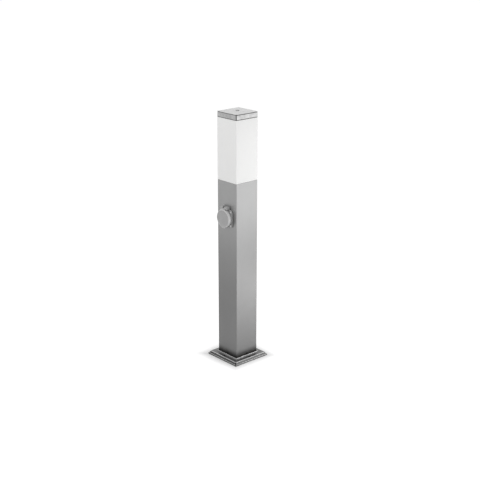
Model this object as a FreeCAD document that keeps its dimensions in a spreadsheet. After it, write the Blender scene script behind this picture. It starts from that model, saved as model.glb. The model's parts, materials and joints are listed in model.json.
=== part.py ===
import FreeCAD, Part
import Sketcher
import math
import os

# Square bollard light in stainless steel with a splash-proof socket outlet.
# Frame: +Z up, origin under the middle of the foot, socket on the -Y face, millimetres.

doc = FreeCAD.newDocument("bollard_light_with_socket")
sheet = doc.addObject("Spreadsheet::Sheet", "Sizes")

SIZES = {
    # extra length that takes a cut right through, and play round a screw in its hole
    "cut_over": 1.0,
    "root_in": 1.0,
    "thread_play": 0.1,
    "screw_play": 0.2,
    # foot: a cast anchor plate under a pressed cover
    "plate_side": 106.0,
    "plate_thick": 8.0,
    "plate_rib": 4.0,
    "plate_relief": 4.5,
    "anchor_pitch": 96.0,
    "anchor_hole_radius": 3.3,
    "anchor_boss_radius": 8.0,
    "cable_hole_radius": 10.0,
    "cable_radius": 6.0,
    "cover_side": 119.0,
    "cover_sheet": 1.5,
    "cover_rim": 1.4,
    "cover_step": 4.0,
    "cover_draft": 1.0,
    "cover_ledge": 1.6,
    "cover_shoulder": 108.6,
    "cover_lip": 3.1,
    "seam_width": 0.6,
    "cap_seam_width": 0.3,
    "seal_width": 1.6,
    "seal_sunk": 0.5,
    "sleeve_height": 32.0,
    "sleeve_wall": 3.0,
    "sleeve_gap": 0.2,
    # post
    "post_side": 76.0,
    "post_wall": 1.5,
    "post_corner": 2.0,
    "post_length": 503.0,
    "post_screw_height": 16.2,
    "post_screw_radius": 2.0,
    "post_screw_head": 2.4,
    "post_screw_head_thick": 1.5,
    # terminal bracket at the foot
    "bracket_width": 44.0,
    "bracket_height": 118.0,
    "bracket_foot": 16.0,
    "bracket_sheet": 2.0,
    "bracket_back": 31.0,
    "bracket_bend": 3.0,
    "bracket_hole_inset": 6.0,
    "block_width": 36.0,
    "block_height": 17.0,
    "block_depth": 15.0,
    "block_up": 78.0,
    "block_pitch": 11.0,
    "block_step": 3.4,
    "wire_hole_radius": 1.9,
    "clamp_width": 34.0,
    "clamp_height": 10.0,
    "clamp_up": 40.0,
    "clamp_wall": 3.0,
    "small_screw_radius": 1.5,
    "small_screw_head": 2.8,
    "small_screw_head_thick": 1.8,
    "earth_stud_radius": 2.5,
    "earth_stud_length": 16.0,
    "earth_stud_head": 4.5,
    "earth_stud_head_thick": 2.0,
    "earth_stud_up": 104.0,
    "earth_nut_flats": 8.0,
    "earth_nut_thick": 4.0,
    # socket outlet
    "socket_below_tray": 47.0,
    "gasket_thick": 1.0,
    "flange_side": 49.0,
    "flange_corner": 9.0,
    "flange_thick": 3.0,
    "flange_screw_pitch": 37.0,
    "flange_screw_radius": 1.75,
    "flange_screw_head": 2.9,
    "flange_screw_head_thick": 1.7,
    "backing_side": 56.0,
    "backing_thick": 2.0,
    "recess_radius": 19.75,
    "recess_depth": 17.5,
    "cup_wall": 1.45,
    "cup_play": 0.4,
    "cup_floor": 3.0,
    "collar_wall": 3.05,
    "collar_rise": 8.0,
    "collar_bevel": 0.6,
    "tab_root": 4.6,
    "pin_pitch": 19.0,
    "pin_hole_radius": 2.9,
    "guide_width": 4.8,
    "guide_reach": 2.2,
    "guide_short": 1.5,
    "earth_clip_width": 8.0,
    "earth_clip_thick": 0.8,
    "earth_clip_rise": 11.0,
    "clip_side_gap": 0.3,
    "clip_slot_out": 0.5,
    "clip_slot_room": 1.6,
    "clip_lean": 1.2,
    "clip_tip": 3.0,
    "clip_tip_in": 0.4,
    "contact_radius": 2.55,
    "contact_wall": 0.8,
    "contact_slit": 0.8,
    "contact_slit_length": 8.4,
    "contact_length": 12.0,
    "base_block_depth": 15.0,
    "base_block_inset": 1.2,
    "base_screw_side": 8.0,
    "base_screw_up": 12.7,
    "base_screw_wall": 0.8,
    "wire_port_radius": 1.6,
    "wire_port_depth": 6.0,
    "wire_port_drop": 8.4,
    # lid and its hinge
    "lid_radius": 25.0,
    "lid_wall": 1.6,
    "lid_face": 2.0,
    "lid_depth": 7.5,
    "lid_round": 1.5,
    "lid_rim": 4.0,
    "lid_dish": 0.4,
    "lid_seal_thick": 1.1,
    "lid_seal_gap": 0.2,
    "lid_tab_width": 14.0,
    "lid_tab_reach": 2.4,
    "lid_tab_thick": 2.0,
    "hinge_up": 28.5,
    "hinge_out": 9.5,
    "knuckle_radius": 4.0,
    "knuckle_width": 4.1,
    "lug_width": 5.0,
    "hinge_side_gap": 0.2,
    "hinge_web": 1.2,
    "hinge_pin_radius": 1.25,
    "hinge_pin_play": 0.06,
    "hinge_pin_fit": 0.02,
    "arm_root": 0.2,
    "spring_slot": 6.2,
    "spring_slot_lip": 0.6,
    "spring_wire": 0.6,
    "spring_pitch": 1.1,
    "spring_radius": 2.3,
    "spring_turns": 3.5,
    "spring_leg": 3.1,
    # head of the post and diffuser
    "tray_drop": 12.0,
    "tray_sheet": 2.0,
    "tray_flange": 12.0,
    "seat_gasket": 2.5,
    "diffuser_length": 169.0,
    "diffuser_wall": 3.0,
    "spigot_inset": 1.8,
    "rod_spacing": 76.4,
    "rod_radius": 2.0,
    "rod_tail": 0.8,
    "rod_head": 0.3,
    "rod_nut_flats": 7.0,
    "rod_nut_thick": 3.2,
    "bridge_width": 12.0,
    "bridge_thick": 2.0,
    "bridge_drop": 5.5,
    "cap_skirt": 16.0,
    "cap_sheet": 1.5,
    "cap_rise": 1.5,
    "cap_crown": 16.0,
    "cap_screw_radius": 2.0,
    "cap_screw_head": 4.2,
    "cap_screw_head_thick": 1.9,
    "cap_screw_tail": 1.0,
    "cap_washer_radius": 4.8,
    "cap_washer_thick": 0.6,
    # lamp and lamp holder
    "nipple_radius": 5.0,
    "nipple_bore": 3.4,
    "nipple_below": 11.0,
    "nipple_above": 8.0,
    "nipple_nut_flats": 14.0,
    "nipple_nut_thick": 4.0,
    "holder_radius": 19.0,
    "holder_neck": 14.0,
    "holder_height": 43.5,
    "holder_floor": 14.0,
    "holder_play": 0.3,
    "contact_strip": 0.8,
    "contact_strip_half": 9.0,
    "contact_strip_width": 6.0,
    "contact_strip_rise": 3.6,
    "lamp_tip_radius": 4.0,
    "lamp_tip_height": 4.6,
    "lamp_cap_radius": 13.2,
    "lamp_cap_length": 26.4,
    "lamp_radius": 22.0,
    "lamp_neck_height": 30.0,
    "lamp_globe_inset": 2.0,
    "lamp_globe_length": 62.0,
    "lamp_end_inset": 6.0,
    "lamp_end_thick": 1.6,
    # internal leads
    "lead_radius": 3.0,
    "lead_spacing": 22.0,
    "lead_end": 1.0,
    "lead_rise": 50.0,
    "lead_to_wall": 95.0,
    "lead_from_wall": 100.0,
    "lead_to_nipple": 30.0,
    "lead_to_port": 60.0,
    "lead_play": 0.27,
    "clip_width": 8.0,
    "clip_wall": 1.5,
}

for row, (alias, number) in enumerate(SIZES.items(), start=1):
    cell = "A%d" % row
    sheet.set(cell, "%g" % number)
    sheet.setAlias(cell, alias)
doc.recompute()


class Size:
    """A number together with the sheet expression that gives it."""

    def __init__(self, text, number):
        self.text = text
        self.number = float(number)

    def __add__(self, other):
        other = as_size(other)
        return Size("(%s + %s)" % (self.text, other.text), self.number + other.number)

    def __radd__(self, other):
        return as_size(other) + self

    def __sub__(self, other):
        other = as_size(other)
        return Size("(%s - %s)" % (self.text, other.text), self.number - other.number)

    def __rsub__(self, other):
        return as_size(other) - self

    def __mul__(self, other):
        other = as_size(other)
        return Size("(%s * %s)" % (self.text, other.text), self.number * other.number)

    __rmul__ = __mul__

    def __truediv__(self, other):
        other = as_size(other)
        return Size("(%s / %s)" % (self.text, other.text), self.number / other.number)

    def __neg__(self):
        return Size("(0 - %s)" % self.text, -self.number)


def as_size(value):
    if isinstance(value, Size):
        return value
    return Size("%.9g" % value if value >= 0 else "(0 - %.9g)" % -value, value)


class Sheet:
    """Reads an alias of the sheet as a Size."""

    def __getattr__(self, alias):
        return Size("Sizes." + alias, sheet.get(alias))


d = Sheet()

# Points along the coil at which its gap to itself is measured, and the share of a turn
# beyond which two of them are on different turns.
GAP_POINT_COUNT = 280
GAP_TURN_SHARE = 0.6

# Heights of the lead clips as shares of the height of the post's top.
CLIP_SHARES = (("low", 0.45), ("high", 0.57))

# Flats that stand for a full circle on rounds inside the housing and on small screws.
HIDDEN_FLAT_COUNT = 24
SCREW_FLAT_COUNT = 8

# Sides of the wires and leads, which are drawn with flats too.
WIRE_SIDES = 6

# Share of the shorter run beside it that the bend of a lead takes.
BEND_REACH = 0.45

# Places that several pieces share, from the ground up.
HALF = d.post_side / 2
BORE_HALF = HALF - d.post_wall
POST_FOOT = d.plate_thick
POST_TOP = POST_FOOT + d.post_length
COVER_TOP = d.plate_thick + d.cover_sheet
COVER_MOUTH = HALF + d.seal_width
TRAY_TOP = POST_TOP - d.tray_drop
DIFFUSER_TOP = POST_TOP + d.diffuser_length
CAP_EDGE = DIFFUSER_TOP + d.cap_skirt
CAP_TOP = CAP_EDGE + d.cap_rise
BRIDGE_TOP = CAP_EDGE - d.bridge_drop
SPIGOT_HALF = HALF - d.spigot_inset
SPIGOT_TOP = CAP_EDGE - d.cap_sheet - d.seat_gasket
SPIGOT_FOOT = TRAY_TOP + d.seat_gasket
DIFFUSER_BORE = HALF - d.diffuser_wall

# Heights of the lamp over the top of the tray.
HOLDER_BORE = d.lamp_cap_radius + d.holder_play
LAMP_TIP = d.holder_floor + d.contact_strip_rise
LAMP_NECK_FOOT = LAMP_TIP + d.lamp_cap_length
LAMP_GLOBE_FOOT = LAMP_NECK_FOOT + d.lamp_neck_height

# Height of the socket, which hangs from the head tray by a clearance.
SOCKET_HEIGHT = TRAY_TOP - d.tray_flange - d.socket_below_tray - d.backing_side / 2

# Depths of the socket, measured outwards from the face of the post.
FLANGE_FRONT = d.gasket_thick + d.flange_thick
COLLAR_FRONT = FLANGE_FRONT + d.collar_rise
RECESS_FLOOR = COLLAR_FRONT - d.recess_depth
CUP_BACK = RECESS_FLOOR - d.cup_floor
CUP_RADIUS = d.recess_radius + d.cup_wall
COLLAR_RADIUS = d.recess_radius + d.collar_wall
LID_INSIDE = COLLAR_FRONT + d.lid_seal_gap + d.lid_seal_thick
LID_FRONT = LID_INSIDE + d.lid_face
LID_BACK = LID_FRONT - d.lid_depth
BLOCK_FRONT = CUP_BACK - d.earth_clip_thick - d.thread_play
BLOCK_BACK = BLOCK_FRONT - d.base_block_depth

pieces = []


def new_body(label):
    body = doc.addObject("PartDesign::Body", label)
    body.Label = label
    pieces.append(body)
    return body


def origin_feature(body, role):
    return [f for f in body.Origin.OriginFeatures if f.Role == role][0]


def new_sketch(body, name, role="XY_Plane", up=None, origin=None, turn=0):
    """A sketch on an origin plane, raised along its normal and with its own zero moved."""
    sketch = body.newObject("Sketcher::SketchObject", name)
    sketch.AttachmentSupport = [(origin_feature(body, role), "")]
    sketch.MapMode = "FlatFace"
    spin = FreeCAD.Rotation(FreeCAD.Vector(0, 0, 1), turn)
    sketch.AttachmentOffset = FreeCAD.Placement(FreeCAD.Vector(0, 0, 0), spin)
    if up is not None:
        sketch.setExpression("AttachmentOffset.Base.z", as_size(up).text)
    if origin is not None:
        sketch.setExpression("AttachmentOffset.Base.x", as_size(origin[0]).text)
        sketch.setExpression("AttachmentOffset.Base.y", as_size(origin[1]).text)
    return sketch


def bind(sketch, kind, geometry, size):
    """Adds one dimension to the sketch and ties it to the sheet."""
    size = as_size(size)
    index = sketch.addConstraint(Sketcher.Constraint(kind, *geometry, size.number))
    sketch.setExpression("Constraints[%d]" % index, size.text)


def pin_point(sketch, line, end, x, y):
    """Holds one end of an edge at x, y from the sketch's zero."""
    for kind, size, axis in (("DistanceX", as_size(x), -2), ("DistanceY", as_size(y), -1)):
        if abs(size.number) < 1e-9:
            sketch.addConstraint(Sketcher.Constraint("PointOnObject", line, end, axis))
        else:
            bind(sketch, kind, (-1, 1, line, end), size)


def circle(sketch, radius, x=0.0, y=0.0):
    radius, x, y = as_size(radius), as_size(x), as_size(y)
    centre = FreeCAD.Vector(x.number, y.number, 0)
    index = sketch.addGeometry(Part.Circle(centre, FreeCAD.Vector(0, 0, 1), radius.number))
    bind(sketch, "Radius", (index,), radius)
    pin_point(sketch, index, 3, x, y)


def arc_between(start, end, radius, side):
    """The short arc from start to end that bulges to the right (-1) or left (1) of its chord.

    The arc itself always runs anticlockwise, so the numbers of its two ends come back with it.
    """
    chord = end.sub(start)
    half = chord.Length / 2
    normal = FreeCAD.Vector(-chord.y, chord.x, 0)
    normal.normalize()
    reach = math.sqrt(max(radius * radius - half * half, 0.0))
    centre = start.add(chord * 0.5).sub(normal * (side * reach))
    low, high = (start, end) if side < 0 else (end, start)
    begin = math.atan2(low.y - centre.y, low.x - centre.x)
    finish = math.atan2(high.y - centre.y, high.x - centre.x)
    if finish < begin:
        finish += 2 * math.pi
    full = Part.Circle(centre, FreeCAD.Vector(0, 0, 1), radius)
    ends = (1, 2) if side < 0 else (2, 1)
    return Part.ArcOfCircle(full, begin, finish), ends


def outline(sketch, points):
    """A closed outline. A point is (x, y), or (x, y, radius, side) at the end of an arc."""
    count = len(points)
    places = [FreeCAD.Vector(as_size(p[0]).number, as_size(p[1]).number, 0) for p in points]
    edges = []
    for i in range(count):
        start = places[i]
        end = places[(i + 1) % count]
        arriving = points[(i + 1) % count]
        if len(arriving) == 4:
            radius = as_size(arriving[2])
            arc, (first, last) = arc_between(start, end, radius.number, arriving[3])
            index = sketch.addGeometry(arc)
            bind(sketch, "Radius", (index,), radius)
        else:
            index = sketch.addGeometry(Part.LineSegment(start, end))
            first, last = (1, 2)
        edges.append((index, first, last))
    for i in range(count):
        index, first, last = edges[i]
        following = edges[(i + 1) % count]
        sketch.addConstraint(Sketcher.Constraint("Coincident", index, last, following[0], following[1]))
    for i in range(count):
        index, first, last = edges[i]
        pin_point(sketch, index, first, points[i][0], points[i][1])


def rectangle(sketch, x0, y0, x1, y1):
    outline(sketch, [(x0, y0), (x1, y0), (x1, y1), (x0, y1)])


def square(sketch, half, corner=None):
    """A square about the sketch's zero, with rounded corners if a corner is given."""
    half = as_size(half)
    if corner is None:
        rectangle(sketch, -half, -half, half, half)
        return
    outline(sketch, rounded_points(half, half - corner, corner))


def rounded_points(half, inner, corner):
    """Corners of a rounded square, anticlockwise, each pair joined by an arc."""
    return [
        (-inner, -half, corner, -1), (inner, -half),
        (half, -inner, corner, -1), (half, inner),
        (inner, half, corner, -1), (-inner, half),
        (-half, inner, corner, -1), (-half, -inner),
    ]


def extrude(body, kind, name, sketch, length, reverse=False, midplane=False):
    feature = body.newObject("PartDesign::" + kind, name)
    feature.Profile = sketch
    feature.setExpression("Length", as_size(length).text)
    feature.Reversed = reverse
    feature.Midplane = midplane
    return feature


def pad(body, name, sketch, length, **options):
    return extrude(body, "Pad", name, sketch, length, **options)


def pocket(body, name, sketch, length, **options):
    """Cuts against the sketch's normal, and checks that material went."""
    doc.recompute()
    before = body.Shape.Volume
    feature = extrude(body, "Pocket", name, sketch, length, **options)
    body.Tip = feature
    doc.recompute()
    if not body.Shape.Volume < before - 1e-6:
        raise RuntimeError("%s of %s cut nothing" % (name, body.Label))
    return feature


def tapered_block(body, kind, name, low, low_half, high, high_half):
    """A square block, added or cut away, that tapers evenly from one half side to another."""
    feature = body.newObject("PartDesign::" + kind + "Wedge", name)
    feature.AttachmentSupport = [(origin_feature(body, "XY_Plane"), "")]
    feature.MapMode = "FlatFace"
    upright = FreeCAD.Rotation(FreeCAD.Vector(1, 0, 0), 90)
    feature.AttachmentOffset = FreeCAD.Placement(FreeCAD.Vector(0, 0, 0), upright)
    low_half = as_size(low_half)
    high_half = as_size(high_half)
    sides = {
        "Xmin": -low_half, "Xmax": low_half, "Zmin": -low_half, "Zmax": low_half,
        "X2min": -high_half, "X2max": high_half, "Z2min": -high_half, "Z2max": high_half,
        "Ymin": as_size(low), "Ymax": as_size(high),
    }
    for side, size in sides.items():
        setattr(feature, side, size.number)
    for side, size in sides.items():
        feature.setExpression(side, size.text)
    body.Tip = feature
    return feature


def revolve(body, name, sketch, axis="V_Axis", kind="Revolution"):
    feature = body.newObject("PartDesign::" + kind, name)
    feature.Profile = sketch
    feature.ReferenceAxis = (sketch, [axis])
    feature.Angle = 360
    return feature


def polar(body, name, features, count, angle=360):
    """Copies features about the body's own Z axis."""
    pattern = body.newObject("PartDesign::PolarPattern", name)
    pattern.Originals = features
    pattern.Axis = (origin_feature(body, "Z_Axis"), [""])
    pattern.Angle = angle
    pattern.Occurrences = count
    body.Tip = pattern
    return pattern


def mirror(body, name, features, role):
    copy = body.newObject("PartDesign::Mirrored", name)
    copy.Originals = features
    copy.MirrorPlane = (origin_feature(body, role), [""])
    body.Tip = copy
    return copy


def turned(label, points):
    """A body turned about its own Z axis from an outline of (radius, height) points."""
    body = new_body(label)
    sketch = new_sketch(body, label + "_profile", "XZ_Plane")
    outline(sketch, points)
    revolve(body, label + "_turned", sketch)
    return body


def place(body, x=0.0, y=0.0, z=0.0, axis=None, angle=0.0):
    """Puts a body in the row frame: the turn is fixed, the place is tied to the sheet."""
    if axis is not None:
        turn = FreeCAD.Rotation(FreeCAD.Vector(*axis), angle)
        body.Placement = FreeCAD.Placement(FreeCAD.Vector(0, 0, 0), turn)
    for name, size in (("x", x), ("y", y), ("z", z)):
        body.setExpression("Placement.Base." + name, as_size(size).text)


def on_socket(body):
    """Local X stays, local Y points up and local Z points out of the socket face."""
    place(body, 0.0, -HALF, SOCKET_HEIGHT, (1, 0, 0), 90)


def polygon(sketch, sides, radius, x=0.0, y=0.0):
    """A regular polygon with its corners at the given radius."""
    points = []
    for step in range(sides):
        angle = 2 * math.pi * step / sides
        points.append((as_size(x) + radius * math.cos(angle), as_size(y) + radius * math.sin(angle)))
    outline(sketch, points)


def fastener(sketch, radius, x=0.0, y=0.0):
    """Section of a small screw, or of the hole that it fills."""
    polygon(sketch, SCREW_FLAT_COUNT, as_size(radius), x, y)


def hidden_round(sketch, radius):
    """A round inside the housing, drawn with flats whose middles lie at the radius."""
    polygon(sketch, HIDDEN_FLAT_COUNT, as_size(radius) / math.cos(math.pi / HIDDEN_FLAT_COUNT))


def hexagon(sketch, flats, x=0.0, y=0.0):
    polygon(sketch, 6, as_size(flats) / 2 / math.cos(math.radians(30)), x, y)


def nut(body, name, flats, thick, bore, up, x=0.0, turn=0):
    """A hexagon nut as a pad with its bore left open."""
    sketch = new_sketch(body, name + "_sketch", "XY_Plane", up, turn=turn)
    hexagon(sketch, flats, x)
    fastener(sketch, bore, x)
    return pad(body, name, sketch, thick)


# Foot

def make_anchor_plate():
    body = new_body("anchor_plate")
    blank = new_sketch(body, "plate_outline")
    square(blank, d.plate_side / 2)
    pad(body, "plate", blank, d.plate_thick)
    # relief cast into the underside beside each anchor boss
    relief = new_sketch(body, "relief_outline")
    far = d.plate_side / 2 - d.plate_rib
    side = d.anchor_boss_radius
    rectangle(relief, side, side, far, far)
    cut = pocket(body, "relief", relief, d.plate_relief, reverse=True)
    polar(body, "reliefs", [cut], 4)
    holes = new_sketch(body, "anchor_hole_outline")
    circle(holes, d.anchor_hole_radius, d.anchor_pitch / 2, 0.0)
    hole = pocket(body, "anchor_hole", holes, d.plate_thick, reverse=True)
    polar(body, "anchor_holes", [hole], 4)
    entry = new_sketch(body, "cable_hole_outline")
    circle(entry, d.cable_hole_radius)
    pocket(body, "cable_hole", entry, d.plate_thick, reverse=True)


def make_cable_grommet():
    """Rubber bush pressed into the plate's cable hole."""
    body = new_body("cable_grommet")
    sketch = new_sketch(body, "bush_outline")
    circle(sketch, d.cable_hole_radius)
    circle(sketch, d.cable_radius)
    pad(body, "bush", sketch, d.plate_thick)


def make_foot_sleeve():
    body = new_body("foot_sleeve")
    half = BORE_HALF - d.sleeve_gap
    sketch = new_sketch(body, "sleeve_outline", "XY_Plane", POST_FOOT)
    square(sketch, half)
    square(sketch, half - d.sleeve_wall)
    pad(body, "sleeve", sketch, d.sleeve_height)
    screw = new_sketch(body, "sleeve_hole_outline", "XZ_Plane", half + d.cut_over)
    fastener(screw, d.post_screw_radius, 0.0, d.post_screw_height)
    hole = pocket(body, "sleeve_hole", screw, d.sleeve_wall + d.cut_over * 2)
    polar(body, "sleeve_holes", [hole], 4)


def make_base_cover():
    """Pressed cover: a low rim, two drawn steps and an upright lip round the post."""
    body = new_body("base_cover")
    half = d.cover_side / 2
    step_half = half - d.cover_draft
    upper_half = step_half - d.cover_ledge
    shoulder_half = d.cover_shoulder / 2
    thick = d.cover_sheet
    rim = new_sketch(body, "rim_outline")
    square(rim, half)
    pad(body, "rim", rim, d.cover_rim)
    tapered_block(body, "Additive", "lower_step", d.cover_rim, half, d.cover_step, step_half)
    tapered_block(body, "Additive", "shoulder", d.cover_step, upper_half, COVER_TOP, shoulder_half)
    mouth = new_sketch(body, "lip_outline", "XY_Plane", COVER_TOP)
    square(mouth, COVER_MOUTH + thick)
    pad(body, "lip", mouth, d.cover_lip)
    # the underside follows the outside at one sheet's thickness
    low = new_sketch(body, "rim_cavity_outline")
    square(low, half - thick)
    pocket(body, "rim_cavity", low, d.cover_step - thick, reverse=True)
    tapered_block(body, "Subtractive", "shoulder_cavity", d.cover_step - thick, upper_half - thick / 2,
                  COVER_TOP - thick, shoulder_half - thick / 2)
    opening = new_sketch(body, "post_opening")
    square(opening, COVER_MOUTH)
    pocket(body, "opening", opening, COVER_TOP + d.cover_lip + d.cut_over, reverse=True)
    holes = new_sketch(body, "cover_hole_outline")
    circle(holes, d.anchor_hole_radius, d.anchor_pitch / 2, 0.0)
    hole = pocket(body, "cover_hole", holes, COVER_TOP + d.cut_over, reverse=True)
    polar(body, "cover_holes", [hole], 4)
    seam = new_sketch(body, "corner_seam_outline", turn=45)
    start = shoulder_half * math.sqrt(2)
    rectangle(seam, start, -d.seam_width / 2, half * math.sqrt(2) + d.cut_over, d.seam_width / 2)
    slit = pocket(body, "corner_seam", seam, COVER_TOP, reverse=True)
    polar(body, "corner_seams", [slit], 4)


def make_post_seal():
    body = new_body("post_seal")
    sketch = new_sketch(body, "seal_outline", "XY_Plane", POST_FOOT)
    square(sketch, COVER_MOUTH)
    square(sketch, HALF)
    pad(body, "seal", sketch, d.cover_sheet + d.cover_lip - d.seal_sunk)


# Post

def make_post_tube():
    body = new_body("post_tube")
    outside = new_sketch(body, "tube_outline", "XY_Plane", POST_FOOT)
    square(outside, HALF, d.post_corner)
    pad(body, "tube", outside, d.post_length)
    inside = new_sketch(body, "tube_bore_outline", "XY_Plane", POST_FOOT)
    square(inside, BORE_HALF)
    pocket(body, "tube_bore", inside, d.post_length, reverse=True)
    screw = new_sketch(body, "post_screw_hole_outline", "XZ_Plane", HALF + d.cut_over)
    fastener(screw, d.post_screw_radius + d.screw_play, 0.0, d.post_screw_height)
    hole = pocket(body, "post_screw_hole", screw, d.post_wall + d.cut_over * 2)
    polar(body, "post_screw_holes", [hole], 4)
    cutout = new_sketch(body, "socket_cutout_outline", "XZ_Plane", HALF + d.cut_over)
    circle(cutout, CUP_RADIUS + d.cup_play, 0.0, SOCKET_HEIGHT)
    for x, z in corner_places(d.flange_screw_pitch / 2):
        fastener(cutout, d.flange_screw_radius + d.screw_play * 2, x, SOCKET_HEIGHT + z)
    pocket(body, "socket_cutout", cutout, d.post_wall + d.cut_over * 2)


def corner_places(half):
    """The four corners of a square about its centre."""
    half = as_size(half)
    return [(half, half), (-half, half), (-half, -half), (half, -half)]


def make_post_screws():
    body = new_body("post_screws")
    tip = BORE_HALF - d.sleeve_gap - d.sleeve_wall
    shank = new_sketch(body, "post_screw_shank_outline", "XZ_Plane", tip)
    fastener(shank, d.post_screw_radius, 0.0, d.post_screw_height)
    stem = pad(body, "post_screw_shank", shank, HALF - tip)
    crown = new_sketch(body, "post_screw_head_outline", "XZ_Plane", HALF)
    fastener(crown, d.post_screw_head, 0.0, d.post_screw_height)
    head = pad(body, "post_screw_head", crown, d.post_screw_head_thick)
    polar(body, "post_screw_set", [stem, head], 4)


# Terminal bracket at the foot

def make_terminal_bracket():
    body = new_body("terminal_bracket")
    back = d.bracket_back
    thick = d.bracket_sheet
    bend = d.bracket_bend
    foot = POST_FOOT
    side = new_sketch(body, "bracket_side", "YZ_Plane")
    outline(side, [
        (back - d.bracket_foot, foot), (back - bend, foot), (back, foot + bend, bend, -1),
        (back, foot + d.bracket_height), (back - thick, foot + d.bracket_height),
        (back - thick, foot + bend), (back - bend, foot + thick, bend - thick, 1),
        (back - d.bracket_foot, foot + thick),
    ])
    pad(body, "folded_strip", side, d.bracket_width, midplane=True)
    feet = new_sketch(body, "foot_hole_outline", "XY_Plane")
    for sign in (-1, 1):
        fastener(feet, d.small_screw_radius, bracket_screw_x() * sign, bracket_screw_y())
    pocket(body, "foot_holes", feet, foot + thick + d.cut_over, reverse=True)
    face = new_sketch(body, "face_hole_outline", "XZ_Plane", d.cut_over - bracket_face())
    for sign in (-1, 1):
        fastener(face, d.small_screw_radius, clamp_screw_x() * sign, foot + d.clamp_up)
        fastener(face, d.small_screw_radius, d.block_pitch / 2 * sign, foot + d.block_up)
    fastener(face, d.earth_stud_radius, 0.0, foot + d.earth_stud_up)
    pocket(body, "face_holes", face, thick + d.cut_over * 2)


def bracket_screw_x():
    return d.bracket_width / 2 - d.bracket_hole_inset


def bracket_screw_y():
    """The screws stand in the middle of the bracket's foot."""
    return d.bracket_back - (d.bracket_foot + d.bracket_bend) / 2


def clamp_screw_x():
    """The clamp's screws stand in the middle of its ears."""
    return (d.clamp_width / 2 + d.cable_radius + d.clamp_wall) / 2


def make_bracket_screws():
    body = new_body("bracket_screws")
    radius = d.small_screw_radius
    head = d.small_screw_head
    foot = POST_FOOT + d.bracket_sheet
    for sign in (-1, 1):
        name = "bracket_screw_left" if sign < 0 else "bracket_screw_right"
        x = bracket_screw_x() * sign
        y = bracket_screw_y()
        shank = new_sketch(body, name + "_shank_outline", "XY_Plane", POST_FOOT)
        fastener(shank, radius, x, y)
        pad(body, name + "_shank", shank, d.bracket_sheet)
        crown = new_sketch(body, name + "_head_outline", "XY_Plane", foot)
        fastener(crown, head, x, y)
        pad(body, name + "_head", crown, d.small_screw_head_thick)


def bracket_face():
    """Depth of the bracket's front face behind the post's axis."""
    return d.bracket_back - d.bracket_sheet


def make_terminal_block():
    body = new_body("terminal_block")
    back = bracket_face()
    middle = POST_FOOT + d.block_up
    low = middle - d.block_height / 2
    side = new_sketch(body, "block_side", "YZ_Plane")
    front = back - d.block_depth
    top = low + d.block_height
    step = d.block_step
    ledge = front + step
    outline(side, [
        (back, low), (back, top), (ledge, top), (ledge, top - step), (front, top - step),
        (front, low + step), (ledge, low + step), (ledge, low),
    ])
    pad(body, "block", side, d.block_width, midplane=True)
    for index in (-1, 0, 1):
        x = d.block_pitch * index
        hole = new_sketch(body, "wire_hole_%d" % (index + 1), "XY_Plane", low)
        fastener(hole, d.wire_hole_radius, x, block_wire_depth())
        pocket(body, "wire_way_%d" % (index + 1), hole, d.block_height + d.cut_over, reverse=True)
    for sign in (-1, 1):
        name = "fixing_left" if sign < 0 else "fixing_right"
        hole = new_sketch(body, name + "_outline", "XZ_Plane", d.cut_over - front)
        fastener(hole, d.small_screw_radius, d.block_pitch / 2 * sign, middle)
        pocket(body, name, hole, d.block_depth + d.cut_over * 2)


def make_terminal_screws():
    """Two screws that hold the terminal block on the bracket."""
    body = new_body("terminal_screws")
    front = bracket_face() - d.block_depth
    middle = POST_FOOT + d.block_up
    for sign in (-1, 1):
        name = "fixing_left" if sign < 0 else "fixing_right"
        shank = new_sketch(body, name + "_shank", "XZ_Plane", -front)
        fastener(shank, d.small_screw_radius, d.block_pitch / 2 * sign, middle)
        pad(body, name + "_body", shank, d.block_depth + d.bracket_sheet, reverse=True)
        head = new_sketch(body, name + "_head", "XZ_Plane", -front)
        fastener(head, d.small_screw_head, d.block_pitch / 2 * sign, middle)
        pad(body, name + "_crown", head, d.small_screw_head_thick)


def make_cable_clamp():
    """Folded strap that grips the incoming cable against the bracket."""
    body = new_body("cable_clamp")
    back = bracket_face()
    sketch = new_sketch(body, "clamp_outline", "XY_Plane", POST_FOOT + d.clamp_up - d.clamp_height / 2)
    half = d.clamp_width / 2
    wall = d.clamp_wall
    throat = d.cable_radius
    deep = back - throat * 2
    slant = throat / 2
    outline(sketch, [
        (-half, back), (-half, back - wall), (-throat - wall, back - wall), (-throat - wall, deep + slant),
        (-throat, deep - wall), (throat, deep - wall), (throat + wall, deep + slant),
        (throat + wall, back - wall), (half, back - wall), (half, back), (throat, back),
        (throat, deep + slant), (slant, deep), (-slant, deep), (-throat, deep + slant), (-throat, back),
    ])
    pad(body, "clamp", sketch, d.clamp_height)
    holes = new_sketch(body, "clamp_hole_outline", "XZ_Plane", d.cut_over - back + wall)
    for sign in (-1, 1):
        fastener(holes, d.small_screw_radius, clamp_screw_x() * sign, POST_FOOT + d.clamp_up)
    pocket(body, "clamp_holes", holes, wall + d.cut_over * 2)


def make_clamp_screws():
    body = new_body("clamp_screws")
    seat = bracket_face() - d.clamp_wall
    for sign in (-1, 1):
        name = "clamp_screw_left" if sign < 0 else "clamp_screw_right"
        x = clamp_screw_x() * sign
        shank = new_sketch(body, name + "_shank", "XZ_Plane", -seat)
        fastener(shank, d.small_screw_radius, x, POST_FOOT + d.clamp_up)
        pad(body, name + "_body", shank, d.clamp_wall + d.bracket_sheet, reverse=True)
        head = new_sketch(body, name + "_head", "XZ_Plane", -seat)
        fastener(head, d.small_screw_head, x, POST_FOOT + d.clamp_up)
        pad(body, name + "_crown", head, d.small_screw_head_thick)


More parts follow.
